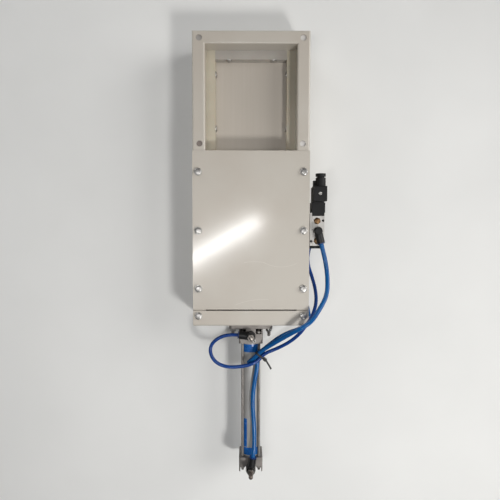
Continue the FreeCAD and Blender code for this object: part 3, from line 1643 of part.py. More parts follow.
def cable_tie():
    """Strap pulled round the three tubes, with its head and cut tail."""
    inner = s.tube_dia / 2 + s.tie_clearance
    strap = tie_block("tie_strap_block", inner + s.tie_strap, s.tie_strap_width)
    room = tie_block("tie_room", inner, s.tie_strap_width * 2)
    grip = new_body("tie_grip", is_node=False)
    head_near = -TIE_SPREAD - inner - s.tie_strap / 2
    head_far = head_near - s.tie_head_size
    half = s.tie_head_size / 2
    head = draw_rectangle(sketch_on(grip, "XZ_Plane"), head_far, TIE_TOP - half, head_near, TIE_TOP + half)
    pad(grip, head, s.tie_head_size, centred=True)
    tail_end = head_far - s.tie_tail_length
    tail_half = s.tie_strap_width / 2
    tail = sketch_on(grip, "XY_Plane", TIE_TOP)
    draw_polygon(
        tail,
        [
            (head_far, -tail_half),
            (tail_end, s.tie_tail_drift - tail_half),
            (tail_end, s.tie_tail_drift + tail_half),
            (head_far, tail_half),
        ],
    )
    pad(grip, tail, s.tie_strap)
    solid = doc.addObject("Part::MultiFuse", "tie_solid")
    solid.Shapes = [strap, grip]
    tie = doc.addObject("Part::Cut", "cable_tie")
    tie.Label = "cable_tie"
    tie.Base = solid
    tie.Tool = room
    place(tie, *TIE_CENTRE, FreeCAD.Rotation(Z_AXIS, TIE_TURN))
    nodes.append(tie)


channels = [side_channel("side_channel_left", -1), side_channel("side_channel_right", 1)]
valve_wall_holes(channels[1])
end_channel()
bottom_plate()
weld_nuts()
top_cover()
end_plate()
cover_bolts()
end_plate_screws()
side_guide_bar("guide_bar_left", -1)
side_guide_bar("guide_bar_right", 1)
end_guide_bar()
guide_screws()
seal_bars()
blade()
blade_bracket()
bracket_bolts()
rod_clevis()
clevis_pin()
rod_nut()
piston_rod()
piston()
piston_seals()
cylinder_flange()
flange_bolts()
front_head()
rod_bush()
barrel()
rear_cap()
tie_rods()
cushion_screw("cushion_screw_front", front_cushion_y)
cushion_screw("cushion_screw_rear", rear_cushion_y)
flow_control("front", front_port_y, FRONT_TURN, s.front_tube_dia, s.front_knob_length)
flow_control("rear", rear_port_y, REAR_TURN, s.tube_dia, s.rear_knob_length)
valve_bracket()
valve_screws()
valve_body()
valve_spool()
valve_end_cap()
pilot_coil()
manual_override()
connector_housing()
connector_screw()
gland_nut()
silencers()
valve_fittings()
tube("supply_tube", SUPPLY_ROUTE, s.tube_dia)
tube("front_tube", FRONT_ROUTE, s.front_tube_dia)
tube("rear_tube", REAR_ROUTE, s.tube_dia)
cable_tie()

doc.recompute()
for obj in doc.Objects:
    if "Invalid" in obj.State or "Error" in obj.State:
        raise RuntimeError(f"{obj.Name} failed to recompute: {obj.State}")
for node in nodes:
    if node.Shape.isNull() or not node.Shape.isValid() or not node.Shape.Solids:
        raise RuntimeError(f"{node.Label} has no valid solid")

os.makedirs("parts", exist_ok=True)
for node in nodes:
    node.Shape.exportStep(f"parts/{node.Label}.step")
print(len(nodes), "nodes written")
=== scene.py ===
import json
import math

import bmesh
import bpy
from mathutils import Matrix, Vector


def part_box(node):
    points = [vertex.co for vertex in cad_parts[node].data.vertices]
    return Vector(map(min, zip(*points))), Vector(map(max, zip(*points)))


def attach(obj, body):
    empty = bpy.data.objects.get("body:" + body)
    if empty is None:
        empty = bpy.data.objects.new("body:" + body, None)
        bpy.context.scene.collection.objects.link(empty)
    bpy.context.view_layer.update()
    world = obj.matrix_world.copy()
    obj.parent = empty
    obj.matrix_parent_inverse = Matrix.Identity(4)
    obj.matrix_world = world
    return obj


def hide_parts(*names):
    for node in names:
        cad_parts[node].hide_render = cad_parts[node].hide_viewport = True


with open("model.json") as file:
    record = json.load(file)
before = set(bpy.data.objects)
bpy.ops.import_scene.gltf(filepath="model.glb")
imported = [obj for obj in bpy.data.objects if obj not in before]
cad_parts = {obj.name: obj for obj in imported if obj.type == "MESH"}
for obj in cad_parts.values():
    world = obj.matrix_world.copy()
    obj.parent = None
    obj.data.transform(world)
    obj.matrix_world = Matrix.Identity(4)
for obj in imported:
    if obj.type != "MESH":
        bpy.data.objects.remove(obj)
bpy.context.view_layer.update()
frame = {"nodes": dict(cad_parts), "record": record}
nodes = frame["nodes"]
slot_of = {part["node"]: part["material_slot"] for part in frame["record"]["subparts"]}

MM = 0.001
UP = Vector((0, 0, 1))
DOWN = Vector((0, 0, -1))
REAR = Vector((0, -1, 0))

# Tube routes in millimetres: the corners of each tube's centre line, moved a little to follow the photograph
SUPPLY_ROUTE = [
    (152.8, -314.6, 104.5),
    (160.7, -344.3, 104.5),
    (168.3, -377.0, 105.5),
    (171.6, -411.0, 109),
    (168.8, -444.0, 120),
    (151.0, -470.5, 138.5),
    (130.5, -496.5, 152.5),
    (111.0, -509.0, 154),
    (86.5, -525.0, 143),
    (65.5, -542.5, 125),
    (45.0, -559.5, 108.5),
    (23.5, -575.5, 100),
    (9.5, -591.1, 98.4),
    (-5.5, -605.5, 90.5),
]
FRONT_ROUTE = [
    (145.4, -325.6, 44),
    (135.6, -352.6, 44),
    (134.8, -382.5, 51),
    (142.8, -409.0, 63),
    (148.8, -437.0, 81),
    (147.5, -463.0, 106),
    (136.5, -486.0, 131),
    (121.5, -506.0, 141),
    (105.5, -531.0, 129.5),
    (86.5, -552.0, 113),
    (60.5, -569.0, 102.5),
    (30.6, -581.5, 99.2),
    (17.3, -597.8, 100.4),
    (-1.5, -606.5, 104),
    (-26.0, -610.7, 105),
    (-53.0, -612.6, 102),
    (-77.0, -605.2, 98.5),
    (-90.6, -589.6, 96),
    (-93.6, -569.0, 95),
    (-83.0, -552.5, 96),
    (-62.5, -540.8, 97.5),
    (-35.7, -538.1, 98),
    (-12.2, -541.0, 98),
]
REAR_ROUTE = [
    (146.3, -303.3, 22),
    (138.4, -331.9, 22),
    (134.4, -362.0, 19),
    (133.8, -398.0, 15),
    (134.3, -434.0, 13),
    (134.8, -467.0, 15),
    (138.5, -493.0, 21),
    (143.0, -514.0, 30),
    (134.0, -531.0, 41),
    (112.5, -537.0, 52),
    (88.5, -542.0, 64.5),
    (66.0, -550.0, 77.5),
    (47.0, -562.0, 86),
    (29.8, -574.4, 89.5),
    (15.9, -591.4, 89.5),
    (14.5, -617.0, 89),
    (9.2, -647.0, 88.6),
    (4.6, -680.0, 88.5),
    (4.6, -716.0, 88.5),
    (7.4, -751.0, 88.8),
    (8.8, -786.0, 92.5),
    (6.3, -818.0, 98),
    (2.1, -841.4, 98),
]
TUBE_DIAMETER = 10 * MM
FRONT_TUBE_DIAMETER = 8 * MM
TUBE_SIDE_STEPS = 8
TUBE_LINE_STEPS = 14

# Spans of a noise texture's value over which two tones blend
SOFT_SPAN = (0.35, 0.65)
WIDE_SPAN = (0.3, 0.7)

# Places of the colour sockets on Blender's mix node
MIX_FIRST = 6
MIX_SECOND = 7
MIX_RESULT = 2


# Colours and shader nodes
def srgb(red, green, blue):
    """A colour given on the 0 to 255 scale of a picture, as the shader wants it."""

    def linear(value):
        value /= 255
        return value / 12.92 if value <= 0.04045 else ((value + 0.055) / 1.055) ** 2.4

    return (linear(red), linear(green), linear(blue), 1)


class Look:
    """A material whose colour, roughness and bump come from procedural textures."""

    def __init__(self, name, **settings):
        self.material = bpy.data.materials.new(name)
        self.material.use_nodes = True
        self.tree = self.material.node_tree
        self.shader = self.tree.nodes["Principled BSDF"]
        for socket, value in settings.items():
            self.shader.inputs[socket.replace("_", " ")].default_value = value
        self.place = self.tree.nodes.new("ShaderNodeTexCoord").outputs["Object"]

    def link(self, source, target):
        self.tree.links.new(source, target)

    def stretched(self, scale):
        """Coordinates stretched along an axis, for brushed or rolled grain."""
        mapping = self.tree.nodes.new("ShaderNodeMapping")
        mapping.inputs["Scale"].default_value = scale
        self.link(self.place, mapping.inputs["Vector"])
        return mapping.outputs["Vector"]

    def noise(self, scale, detail=3, grain=None, distortion=0):
        texture = self.tree.nodes.new("ShaderNodeTexNoise")
        texture.inputs["Scale"].default_value = scale
        texture.inputs["Detail"].default_value = detail
        texture.inputs["Distortion"].default_value = distortion
        self.link(self.stretched(grain) if grain else self.place, texture.inputs["Vector"])
        return texture.outputs["Fac"]

    def cells(self, scale):
        """A cell pattern's node, which gives each cell's colour and the distance from its middle."""
        texture = self.tree.nodes.new("ShaderNodeTexVoronoi")
        texture.inputs["Scale"].default_value = scale
        self.link(self.place, texture.inputs["Vector"])
        return texture

    def distance(self, point):
        """Distance from a point."""
        made = self.tree.nodes.new("ShaderNodeVectorMath")
        made.operation = "DISTANCE"
        made.inputs[1].default_value = point
        self.link(self.place, made.inputs[0])
        return made.outputs["Value"]

    def test(self, operation, value, *limits):
        """Mask of where a value passes a comparison with fixed limits."""
        made = self.tree.nodes.new("ShaderNodeMath")
        made.operation = operation
        self.link(value, made.inputs[0])
        for index, limit in enumerate(limits, 1):
            made.inputs[index].default_value = limit
        return made.outputs["Value"]

    def both(self, first, second):
        """Mask of where two masks overlap."""
        made = self.tree.nodes.new("ShaderNodeMath")
        made.operation = "MULTIPLY"
        self.link(first, made.inputs[0])
        self.link(second, made.inputs[1])
        return made.outputs["Value"]

    def blend(self, value, span, low, high):
        """Colour that goes from one tone to another as a value crosses a span."""
        made = self.tree.nodes.new("ShaderNodeValToRGB")
        for element, position, tone in zip(made.color_ramp.elements, span, (low, high)):
            element.position = position
            element.color = tone
        self.link(value, made.inputs["Fac"])
        return made.outputs["Color"]

    def cover(self, under, mask, tone):
        """Colour with another tone laid over it where a mask is set."""
        made = self.tree.nodes.new("ShaderNodeMix")
        made.data_type = "RGBA"
        self.link(mask, made.inputs["Factor"])
        self.link(under, made.inputs[MIX_FIRST])
        made.inputs[MIX_SECOND].default_value = tone
        return made.outputs[MIX_RESULT]

    def colour(self, source):
        self.link(source, self.shader.inputs["Base Color"])

    def roughness(self, value, low, high):
        made = self.tree.nodes.new("ShaderNodeMapRange")
        made.inputs["From Min"].default_value = WIDE_SPAN[0]
        made.inputs["From Max"].default_value = WIDE_SPAN[1]
        made.inputs["To Min"].default_value = low
        made.inputs["To Max"].default_value = high
        self.link(value, made.inputs["Value"])
        self.link(made.outputs["Result"], self.shader.inputs["Roughness"])

    def bump(self, value, depth, strength):
        """Relief of a depth in metres."""
        made = self.tree.nodes.new("ShaderNodeBump")
        made.inputs["Strength"].default_value = strength
        made.inputs["Distance"].default_value = depth
        self.link(value, made.inputs["Height"])
        self.link(made.outputs["Normal"], self.shader.inputs["Normal"])


WHITE = (1, 1, 1, 1)
BLACK = (0, 0, 0, 1)

# Specks in the paint: their radius in a cell, the reach of their soft edge, and the share of cells with one
SPECK_CELLS = 40
SPECK_RADIUS = 0.045
SPECK_REACH = 1.6
SPECK_SHARE = 0.16
SPECK_STEP = 0.01

# Scratches in metres: the centre and radius of an arc, its middle, and how far it goes on each side
COVER_TOP = 0.123
SCRATCH_WIDTH = 0.0008
SCRATCHES = [
    ((0.066, -0.3039, COVER_TOP), 0.0776, (0.063, -0.3815, COVER_TOP), 0.038),
    ((0.0075, -0.4986, COVER_TOP), 0.1286, (0.007, -0.37, COVER_TOP), 0.023),
    ((0.0273, -0.616, COVER_TOP), 0.1624, (0.001, -0.4557, COVER_TOP), 0.038),
]

# Stretch of the grain along the gate, for drawn, machined and rolled stock
DRAWN_GRAIN = (1, 0.05, 1)
MACHINED_GRAIN = (1, 0.04, 1)
ROLLED_GRAIN = (1, 0.02, 1)


def specks(look):
    """Mask of small round specks: one in some cells of a cell pattern."""
    cells = look.cells(SPECK_CELLS)
    dots = look.blend(cells.outputs["Distance"], (SPECK_RADIUS, SPECK_RADIUS * SPECK_REACH), WHITE, BLACK)
    chosen = look.blend(cells.outputs["Color"], (1 - SPECK_SHARE, 1 - SPECK_SHARE + SPECK_STEP), BLACK, WHITE)
    return look.both(dots, chosen)


def scratch(look, centre, radius, middle, reach):
    """Mask of a thin arc about a centre, as far as it lies within reach of its middle."""
    arc = look.test("COMPARE", look.distance(centre), radius, SCRATCH_WIDTH / 2)
    near = look.test("LESS_THAN", look.distance(middle), reach)
    return look.both(arc, near)


def paint():
    """Satin stove paint with faint clouding, a fine orange peel, a few specks and faint scratches."""
    look = Look("body_paint", Coat_Weight=1, Coat_Roughness=0.145)
    coat = look.blend(look.noise(scale=7, detail=4), SOFT_SPAN, srgb(183, 175, 164), srgb(189, 183, 173))
    coat = look.cover(coat, specks(look), srgb(88, 80, 74))
    for arc in SCRATCHES:
        coat = look.cover(coat, scratch(look, *arc), srgb(201, 196, 187))
    look.colour(coat)
    look.roughness(look.noise(scale=30, detail=4), low=0.42, high=0.5)
    look.bump(look.noise(scale=420, detail=2), depth=0.00002, strength=0.25)
    return look.material


def guide_plastic(name, dark, light):
    """Machined plastic with faint cutter lines along its length."""
    look = Look(name, Specular_IOR_Level=0.4, Subsurface_Weight=0.05)
    look.colour(look.blend(look.noise(scale=18, detail=5), WIDE_SPAN, dark, light))
    look.roughness(look.noise(scale=60, detail=4), low=0.42, high=0.6)
    look.bump(look.noise(scale=120, grain=MACHINED_GRAIN), depth=0.00005, strength=0.4)
    return look.material


def blade_steel():
    """Dull rolled sheet, with faint lines along its slide and smears of dust."""
    look = Look("blade_steel", Metallic=0.1)
    rolled = look.noise(scale=160, grain=ROLLED_GRAIN)
    smears = look.noise(scale=5, detail=5, distortion=0.6)
    sheet = look.blend(rolled, WIDE_SPAN, srgb(183, 175, 164), srgb(186, 178, 168))
    dust = look.blend(smears, (0.45, 0.75), BLACK, WHITE)
    look.colour(look.cover(sheet, dust, srgb(179, 171, 160)))
    look.roughness(smears, low=0.42, high=0.55)
    look.bump(rolled, depth=0.00001, strength=0.2)
    return look.material


def metal(name, dark, light, rough, scale=120, grain=None, depth=0.00003, metallic=1):
    """Plain metal with a fine grain, clouded between two tones; dull metal is less than fully metallic."""
    look = Look(name, Metallic=metallic)
    look.colour(look.blend(look.noise(scale=scale / 6, detail=4), SOFT_SPAN, dark, light))
    look.roughness(look.noise(scale=scale, grain=grain), *rough)
    look.bump(look.noise(scale=scale * 4, detail=2, grain=grain), depth, strength=0.4)
    return look.material


def plastic(name, dark, light, rough, scale=900, depth=0.00003, shine=0.45):
    """Moulded plastic with a fine spark-eroded grain."""
    look = Look(name, Specular_IOR_Level=shine)
    look.colour(look.blend(look.noise(scale=40, detail=4), SOFT_SPAN, dark, light))
    look.roughness(look.noise(scale=80), *rough)
    look.bump(look.noise(scale=scale, detail=2), depth, strength=0.5)
    return look.material


def tube_plastic(name, dark, light):
    """Glossy extruded tube of slightly cloudy colour, with gloss that varies along it."""
    look = Look(
        name,
        Specular_IOR_Level=0.28,
        Subsurface_Weight=0.08,
        Subsurface_Radius=(0.0005, 0.001, 0.002),
    )
    look.colour(look.blend(look.noise(scale=22, detail=4), SOFT_SPAN, dark, light))
    look.roughness(look.noise(scale=140), low=0.15, high=0.26)
    look.bump(look.noise(scale=300, detail=2), depth=0.00002, strength=0.3)
    return look.material


def sintered_bronze():
    """Porous sintered metal: small pits between grains, darkened in colour as painted shade."""
    look = Look("silencer_bronze", Metallic=1)
    grains = look.cells(scale=1500).outputs["Distance"]
    # Darker towards the edge of each grain: painted shade in the pits between grains
    look.colour(look.blend(grains, (0.1, 0.7), srgb(172, 136, 100), srgb(96, 72, 50)))
    look.roughness(look.noise(scale=200), low=0.35, high=0.55)
    look.bump(grains, depth=0.0001, strength=0.6)
    return look.material


MATERIALS = {
    "body_paint": paint(),
    "guide_plastic": guide_plastic("guide_plastic", srgb(174, 166, 148), srgb(184, 176, 159)),
    "blade_steel": blade_steel(),
    "zinc_steel": metal(
        "zinc_steel", srgb(160, 158, 155), srgb(186, 184, 181), rough=(0.34, 0.46), scale=300, depth=0.00001
    ),
    "rod_chrome": metal(
        "rod_chrome", srgb(214, 214, 216), srgb(226, 226, 228), rough=(0.06, 0.12), scale=200, depth=0.000005
    ),
    "cylinder_cast": metal(
        "cylinder_cast",
        srgb(124, 119, 115),
        srgb(140, 135, 131),
        rough=(0.46, 0.6),
        scale=260,
        depth=0.00006,
        metallic=0.7,
    ),
    "barrel_aluminium": metal(
        "barrel_aluminium",
        srgb(162, 161, 158),
        srgb(171, 170, 168),
        rough=(0.46, 0.54),
        scale=260,
        grain=DRAWN_GRAIN,
        depth=0.00001,
        metallic=0.35,
    ),
    "bush_bronze": metal("bush_bronze", srgb(170, 128, 76), srgb(190, 146, 92), rough=(0.3, 0.45)),
    "seal_rubber": plastic("seal_rubber", srgb(20, 20, 21), srgb(30, 30, 31), rough=(0.6, 0.75)),
    "fitting_plastic": plastic(
        "fitting_plastic", srgb(16, 16, 17), srgb(24, 24, 26), rough=(0.34, 0.48), shine=0.35
    ),
    "fitting_metal": metal(
        "fitting_metal", srgb(132, 126, 120), srgb(152, 146, 140), rough=(0.3, 0.42), scale=240
    ),
    "collet_plastic": plastic("collet_plastic", srgb(18, 44, 96), srgb(24, 54, 110), rough=(0.3, 0.42)),
    "valve_aluminium": metal(
        "valve_aluminium",
        srgb(186, 183, 179),
        srgb(196, 193, 189),
        rough=(0.36, 0.48),
        scale=260,
        grain=DRAWN_GRAIN,
    ),
    "black_plastic": plastic(
        "black_plastic", srgb(15, 15, 16), srgb(22, 22, 23), rough=(0.44, 0.58), shine=0.28
    ),
    "override_orange": plastic(
        "override_orange", srgb(168, 120, 40), srgb(186, 134, 48), rough=(0.35, 0.45)
    ),
    "silencer_bronze": sintered_bronze(),
    "tube_blue": tube_plastic("tube_blue", srgb(12, 78, 136), srgb(16, 88, 148)),
    "tube_navy": tube_plastic("tube_navy", srgb(18, 54, 118), srgb(24, 64, 132)),
    "tie_nylon": plastic("tie_nylon", srgb(22, 22, 23), srgb(30, 30, 31), rough=(0.38, 0.5)),
}

# Materials of single pieces that differ from the rest of their slot
SILENCER_BRASS = metal("silencer_brass", srgb(84, 66, 46), srgb(106, 84, 60), rough=(0.32, 0.44), scale=240)
# Darker, duller copy of the zinc steel for the tie rods and their nuts; the darkness is partly painted shade,
# as the rod in view lies on the barrel's shaded left side
TIE_STEEL = metal(
    "tie_steel",
    srgb(118, 114, 110),
    srgb(136, 132, 128),
    rough=(0.42, 0.54),
    scale=300,
    depth=0.00001,
    metallic=0.7,
)
# Darker copy of the knobs' metal for the rear knob alone: painted shade for the side of it that faces away
# from the lamps
KNOB_PAINTED_SHADE = metal(
    "knob_painted_shade", srgb(92, 83, 77), srgb(108, 99, 93), rough=(0.44, 0.56), scale=240, metallic=0.8
)
# Near-black steel for the valve's screws deep in their holes: partly their own black finish, partly painted
# shade for the holes they sit in
BLACK_STEEL = metal("black_steel", srgb(34, 33, 32), srgb(46, 45, 44), rough=(0.4, 0.55), scale=300)
SCREW_STEEL = metal(
    "screw_steel", srgb(172, 169, 165), srgb(188, 185, 181), rough=(0.4, 0.5), scale=300, metallic=0.6
)
# Greyer, darker copy of the guide plastic for the end bar alone; its darkness is painted shade, as the end
# wall beside the bar keeps light off it
GUIDE_PAINTED_SHADE = guide_plastic("guide_painted_shade", srgb(158, 152, 145), srgb(168, 163, 156))
# Three tones of one plug material, one per flange hole: painted reflection, standing in for how differently
# each flat disc catches the light
PLUG_BRIGHT = plastic("plug_bright", srgb(196, 193, 190), srgb(206, 203, 200), rough=(0.4, 0.5), scale=600)
PLUG_DULL = plastic("plug_dull", srgb(150, 146, 142), srgb(160, 156, 152), rough=(0.4, 0.5), scale=600)
PLUG_DARK = plastic("plug_dark", srgb(120, 110, 104), srgb(130, 120, 114), rough=(0.4, 0.5), scale=600)
BAND_BLUE = plastic(
    "band_blue", srgb(18, 86, 160), srgb(24, 98, 176), rough=(0.22, 0.32), scale=400, depth=0.00001
)
OWN_MATERIAL = {
    "guide_bar_end": GUIDE_PAINTED_SHADE,
    "valve_screws": BLACK_STEEL,
    "cushion_screw_front": SCREW_STEEL,
    "cushion_screw_rear": SCREW_STEEL,
}
for name, obj in nodes.items():
    obj.data.materials.clear()
    obj.data.materials.append(OWN_MATERIAL.get(name, MATERIALS[slot_of[name]]))


# Pieces
def add_piece(name, data, body, slot, *replaced, material=None):
    """An object that moves with a body and stands for the given nodes, in its slot's material or its own."""
    piece = bpy.data.objects.new(name, data)
    bpy.context.collection.objects.link(piece)
    data.materials.append(material or MATERIALS[slot])
    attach(piece, body)
    if replaced:
        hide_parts(*replaced)
    return piece


def tube(name, route, diameter):
    """A tube drawn as one smooth line, with its route's corners as control points."""
    curve = bpy.data.curves.new(name, "CURVE")
    curve.dimensions = "3D"
    curve.bevel_depth = diameter / 2
    curve.bevel_resolution = TUBE_SIDE_STEPS
    curve.resolution_u = TUBE_LINE_STEPS
    curve.use_fill_caps = True
    spline = curve.splines.new("NURBS")
    spline.points.add(len(route) - 1)
    for point, place in zip(spline.points, route):
        point.co = (*(Vector(place) * MM), 1)
    spline.order_u = 3
    spline.use_endpoint_u = True
    return add_piece(f"{name}_line", curve, "frame", slot_of[name], name)


supply_tube = tube("supply_tube", SUPPLY_ROUTE, TUBE_DIAMETER)
front_tube = tube("front_tube", FRONT_ROUTE, FRONT_TUBE_DIAMETER)
rear_tube = tube("rear_tube", REAR_ROUTE, TUBE_DIAMETER)

# Nodes whose sharp edges are eased, with the width of the easing in millimetres
EASED = {
    "top_cover": 0.7,
    "end_plate": 0.5,
    "guide_bar_left": 0.8,
    "guide_bar_right": 0.8,
    "guide_bar_end": 0.8,
    "seal_bars": 0.8,
    "blade": 0.4,
    "cylinder_flange": 1.0,
    "front_head": 1.1,
    "rear_cap": 1.1,
    "barrel": 0.4,
    "valve_body": 0.5,
    "valve_bracket": 0.5,
    "valve_end_cap": 0.6,
    "pilot_coil": 1.0,
    "connector_housing": 1.0,
    "front_banjo_bolt": 0.5,
    "rear_banjo_bolt": 0.5,
    "front_banjo": 1.2,
    "rear_banjo": 1.2,
    "supply_elbow": 0.8,
    "port_elbows": 0.8,
    "front_collet": 0.4,
    "rear_collet": 0.4,
    "supply_collet": 0.4,
    "port_collet_a": 0.4,
    "port_collet_b": 0.4,
    "cushion_screw_front": 0.3,
    "cushion_screw_rear": 0.3,
    "connector_screw": 0.3,
    "manual_override": 0.3,
    "cable_tie": 0.25,
    "valve_screws": 0.4,
    "bracket_bolts": 0.4,
    "blade_bracket": 0.5,
    "rod_clevis": 0.6,
}
WELD_DISTANCE = 0.001 * MM
FLAT_ANGLE = math.radians(0.5)
EDGE_ANGLE = math.radians(40)
EASE_STEPS = 2


def ease(node, width):
    """Rounds a node's sharp edges, with its flat faces still shaded flat."""
    obj = nodes[node]
    weld = obj.modifiers.new("weld", "WELD")
    weld.merge_threshold = WELD_DISTANCE
    flatten = obj.modifiers.new("flatten", "DECIMATE")
    flatten.decimate_type = "DISSOLVE"
    flatten.angle_limit = FLAT_ANGLE
    bevel = obj.modifiers.new("ease", "BEVEL")
    bevel.width = width * MM
    bevel.segments = EASE_STEPS
    bevel.limit_method = "ANGLE"
    bevel.angle_limit = EDGE_ANGLE
    bevel.use_clamp_overlap = True
    shade = obj.modifiers.new("shade", "WEIGHTED_NORMAL")
    shade.keep_sharp = True


for node, width in EASED.items():
    ease(node, width)

# Fasteners and small turned parts, built as stacks of outlines in millimetres
SIDES = 48
HEX_STEP = math.pi / 3
CHAMFER_SLOPE = math.tan(math.radians(30))
SHARP_ANGLE = math.radians(32)

# Depth of a thread's ridges and taper of its tip, as shares of the pitch
THREAD_DEPTH = 0.6
THREAD_TAPER = 0.4

# Radius of the flat on a head or nut as a share of its width across flats, and the edge of a nut's hole
HEAD_FLAT = 0.46
NUT_FLAT = 0.47
NUT_EDGE = 0.6

# Crown of a head: its height, then steps as shares of the flat's radius and of the height below the top
HEAD_CROWN = 0.5
CROWN_PROFILE = [(1, 1), (0.75, 0.45), (0.4, 0.1), (0.15, 0)]


def ring(radius, height, ribs=0, depth=0):
    """A closed outline about the axis; ribs press it in evenly."""
    points = []
    for index in range(SIDES):
        angle = 2 * math.pi * index / SIDES
        reach = radius - depth * (0.5 - 0.5 * math.cos(ribs * angle))
        points.append(Vector((reach * math.cos(angle), reach * math.sin(angle), height)))
    return points


def hexagon(flats, height, limit=None):
    """A hexagon's outline; limit is the radius of the chamfer that trims its corners at this height."""
    points = []
    for index in range(SIDES):
        angle = 2 * math.pi * index / SIDES
        reach = flats / 2 / math.cos((angle + HEX_STEP / 2) % HEX_STEP - HEX_STEP / 2)
        drop = (reach - limit) * CHAMFER_SLOPE if limit else 0
        points.append(Vector((reach * math.cos(angle), reach * math.sin(angle), height - drop)))
    return points


def stack(bm, outlines, place, axis, turn=0, closed=False):
    """Joins outlines into one closed surface; a closed stack is a ring with a hole."""
    matrix = Matrix.Translation(place) @ axis.to_track_quat("Z", "Y").to_matrix().to_4x4()
    matrix = matrix @ Matrix.Rotation(turn, 4, "Z") @ Matrix.Scale(MM, 4)
    loops = [[bm.verts.new(matrix @ point) for point in outline] for outline in outlines]
    pairs = list(zip(loops, loops[1:]))
    if closed:
        pairs.append((loops[-1], loops[0]))
    for low, high in pairs:
        for index in range(SIDES):
            bm.faces.new((low[index - 1], low[index], high[index], high[index - 1]))
    if not closed:
        bm.faces.new(list(reversed(loops[0])))
        bm.faces.new(loops[-1])


def rod_outlines(radius, length, edge=0.5):
    """A plain rod with small chamfers."""
    return [
        ring(radius - edge, 0),
        ring(radius, edge),
        ring(radius, length - edge),
        ring(radius - edge, length),
    ]


def thread_outlines(radius, length, pitch):
    """A screw thread as a row of ridges, with a chamfered tip at its end."""
    root = radius - pitch * THREAD_DEPTH
    count = int(length / pitch)
    outlines = []
    for index in range(count):
        outlines.append(ring(root, pitch * index))
        outlines.append(ring(radius, pitch * (index + 0.5)))
    outlines.append(ring(root, pitch * count))
    outlines.append(ring(root - pitch * THREAD_TAPER, length))
    return outlines


def hex_head(flats, height):
    """A bolt's head on the plane at zero: chamfered corners under a low crown."""
    flat_radius = flats * HEAD_FLAT
    sides = [hexagon(flats, 0), hexagon(flats, height - HEAD_CROWN, flat_radius)]
    crown = [ring(flat_radius * reach, height - HEAD_CROWN * drop) for reach, drop in CROWN_PROFILE]
    return sides + crown


def hex_nut(flats, height, hole):
    """A nut on the plane at zero, chamfered at both faces."""
    flat_radius = flats * NUT_FLAT
    upper = hexagon(flats, height, flat_radius)
    lower = [Vector((point.x, point.y, height - point.z)) for point in upper]
    return [
        ring(hole, NUT_EDGE),
        ring(hole + NUT_EDGE, 0),
        ring(flat_radius, 0),
        lower,
        upper,
        ring(flat_radius, height),
        ring(hole + NUT_EDGE, height),
        ring(hole, height - NUT_EDGE),
    ]


def washer(radius, hole, thickness, edge=0.35):
    """A flat ring with rolled edges."""
    return [
        ring(hole, 0),
        ring(radius - edge / 2, 0),
        ring(radius, edge / 2),
        ring(radius, thickness - edge),
        ring(radius - edge, thickness),
        ring(hole, thickness),
    ]


def solids_of(node):
    """Boxes in millimetres of a node's separate solids, in a fixed order."""
    bm = bmesh.new()
    bm.from_mesh(nodes[node].data)
    bmesh.ops.remove_doubles(bm, verts=bm.verts, dist=WELD_DISTANCE)
    seen = set()
    boxes = []
    for first in bm.verts:
        if first in seen:
            continue
        seen.add(first)
        group = [first]
        for vert in group:
            for edge in vert.link_edges:
                other = edge.other_vert(vert)
                if other not in seen:
                    seen.add(other)
                    group.append(other)
        places = [vert.co / MM for vert in group]
        low = Vector([min(place[axis] for place in places) for axis in range(3)])
        high = Vector([max(place[axis] for place in places) for axis in range(3)])
        boxes.append((low, high))
    bm.free()
    return sorted(boxes, key=lambda box: tuple(round(value, 3) for value in (*box[0], *box[1])))


def shaded_piece(name, bm, body, slot, *replaced, material=None):
    """Turns built surfaces into a piece with its sharp edges kept."""
    bmesh.ops.recalc_face_normals(bm, faces=bm.faces)
    mesh = bpy.data.meshes.new(name)
    bm.to_mesh(mesh)
    bm.free()
    mesh.shade_smooth()
    mesh.set_sharp_from_angle(angle=SHARP_ANGLE)
    return add_piece(name, mesh, body, slot, *replaced, material=material)


BOLT_RADIUS = 4
BOLT_FLATS = 13
BOLT_HEAD = 5.3
BOLT_NUT = 6.8
BOLT_PITCH = 1.25
WASHER_RADIUS = 8.25
WASHER_HOLE = 4.5
WASHER = 1.6
TURN_STEP = math.radians(37)


def cover_bolts():
    """Hex bolts on washers, each tightened to its own angle."""
    bm = bmesh.new()
    bolts = [box for box in solids_of("cover_bolts") if box[1].z - box[0].z > WASHER * 2]
    for index, (low, high) in enumerate(bolts):
        middle = (low + high) / 2
        seat = Vector((middle.x, middle.y, high.z - BOLT_HEAD)) * MM
        under = seat - Vector((0, 0, WASHER * MM))
        stack(bm, washer(WASHER_RADIUS, WASHER_HOLE, WASHER), under, UP, closed=True)
        stack(bm, hex_head(BOLT_FLATS, BOLT_HEAD), seat, UP, TURN_STEP * index)
        shank = high.z - BOLT_HEAD - low.z
        stack(bm, thread_outlines(BOLT_RADIUS, shank, BOLT_PITCH), seat, DOWN)
    shaded_piece("cover_bolts_detailed", bm, "frame", "zinc_steel", "cover_bolts")


# Button heads: a short rim, then steps along a flattened curve in to the socket
GUIDE_HEAD = 3
GUIDE_HEAD_RADIUS = 7.5
GUIDE_RIM = 0.5
GUIDE_STEPS = 4
GUIDE_STEP_ANGLE = math.pi / 10
GUIDE_CURVE = 1.2
SOCKET_RADIUS = 2.6
SOCKET_DEPTH = 1.8


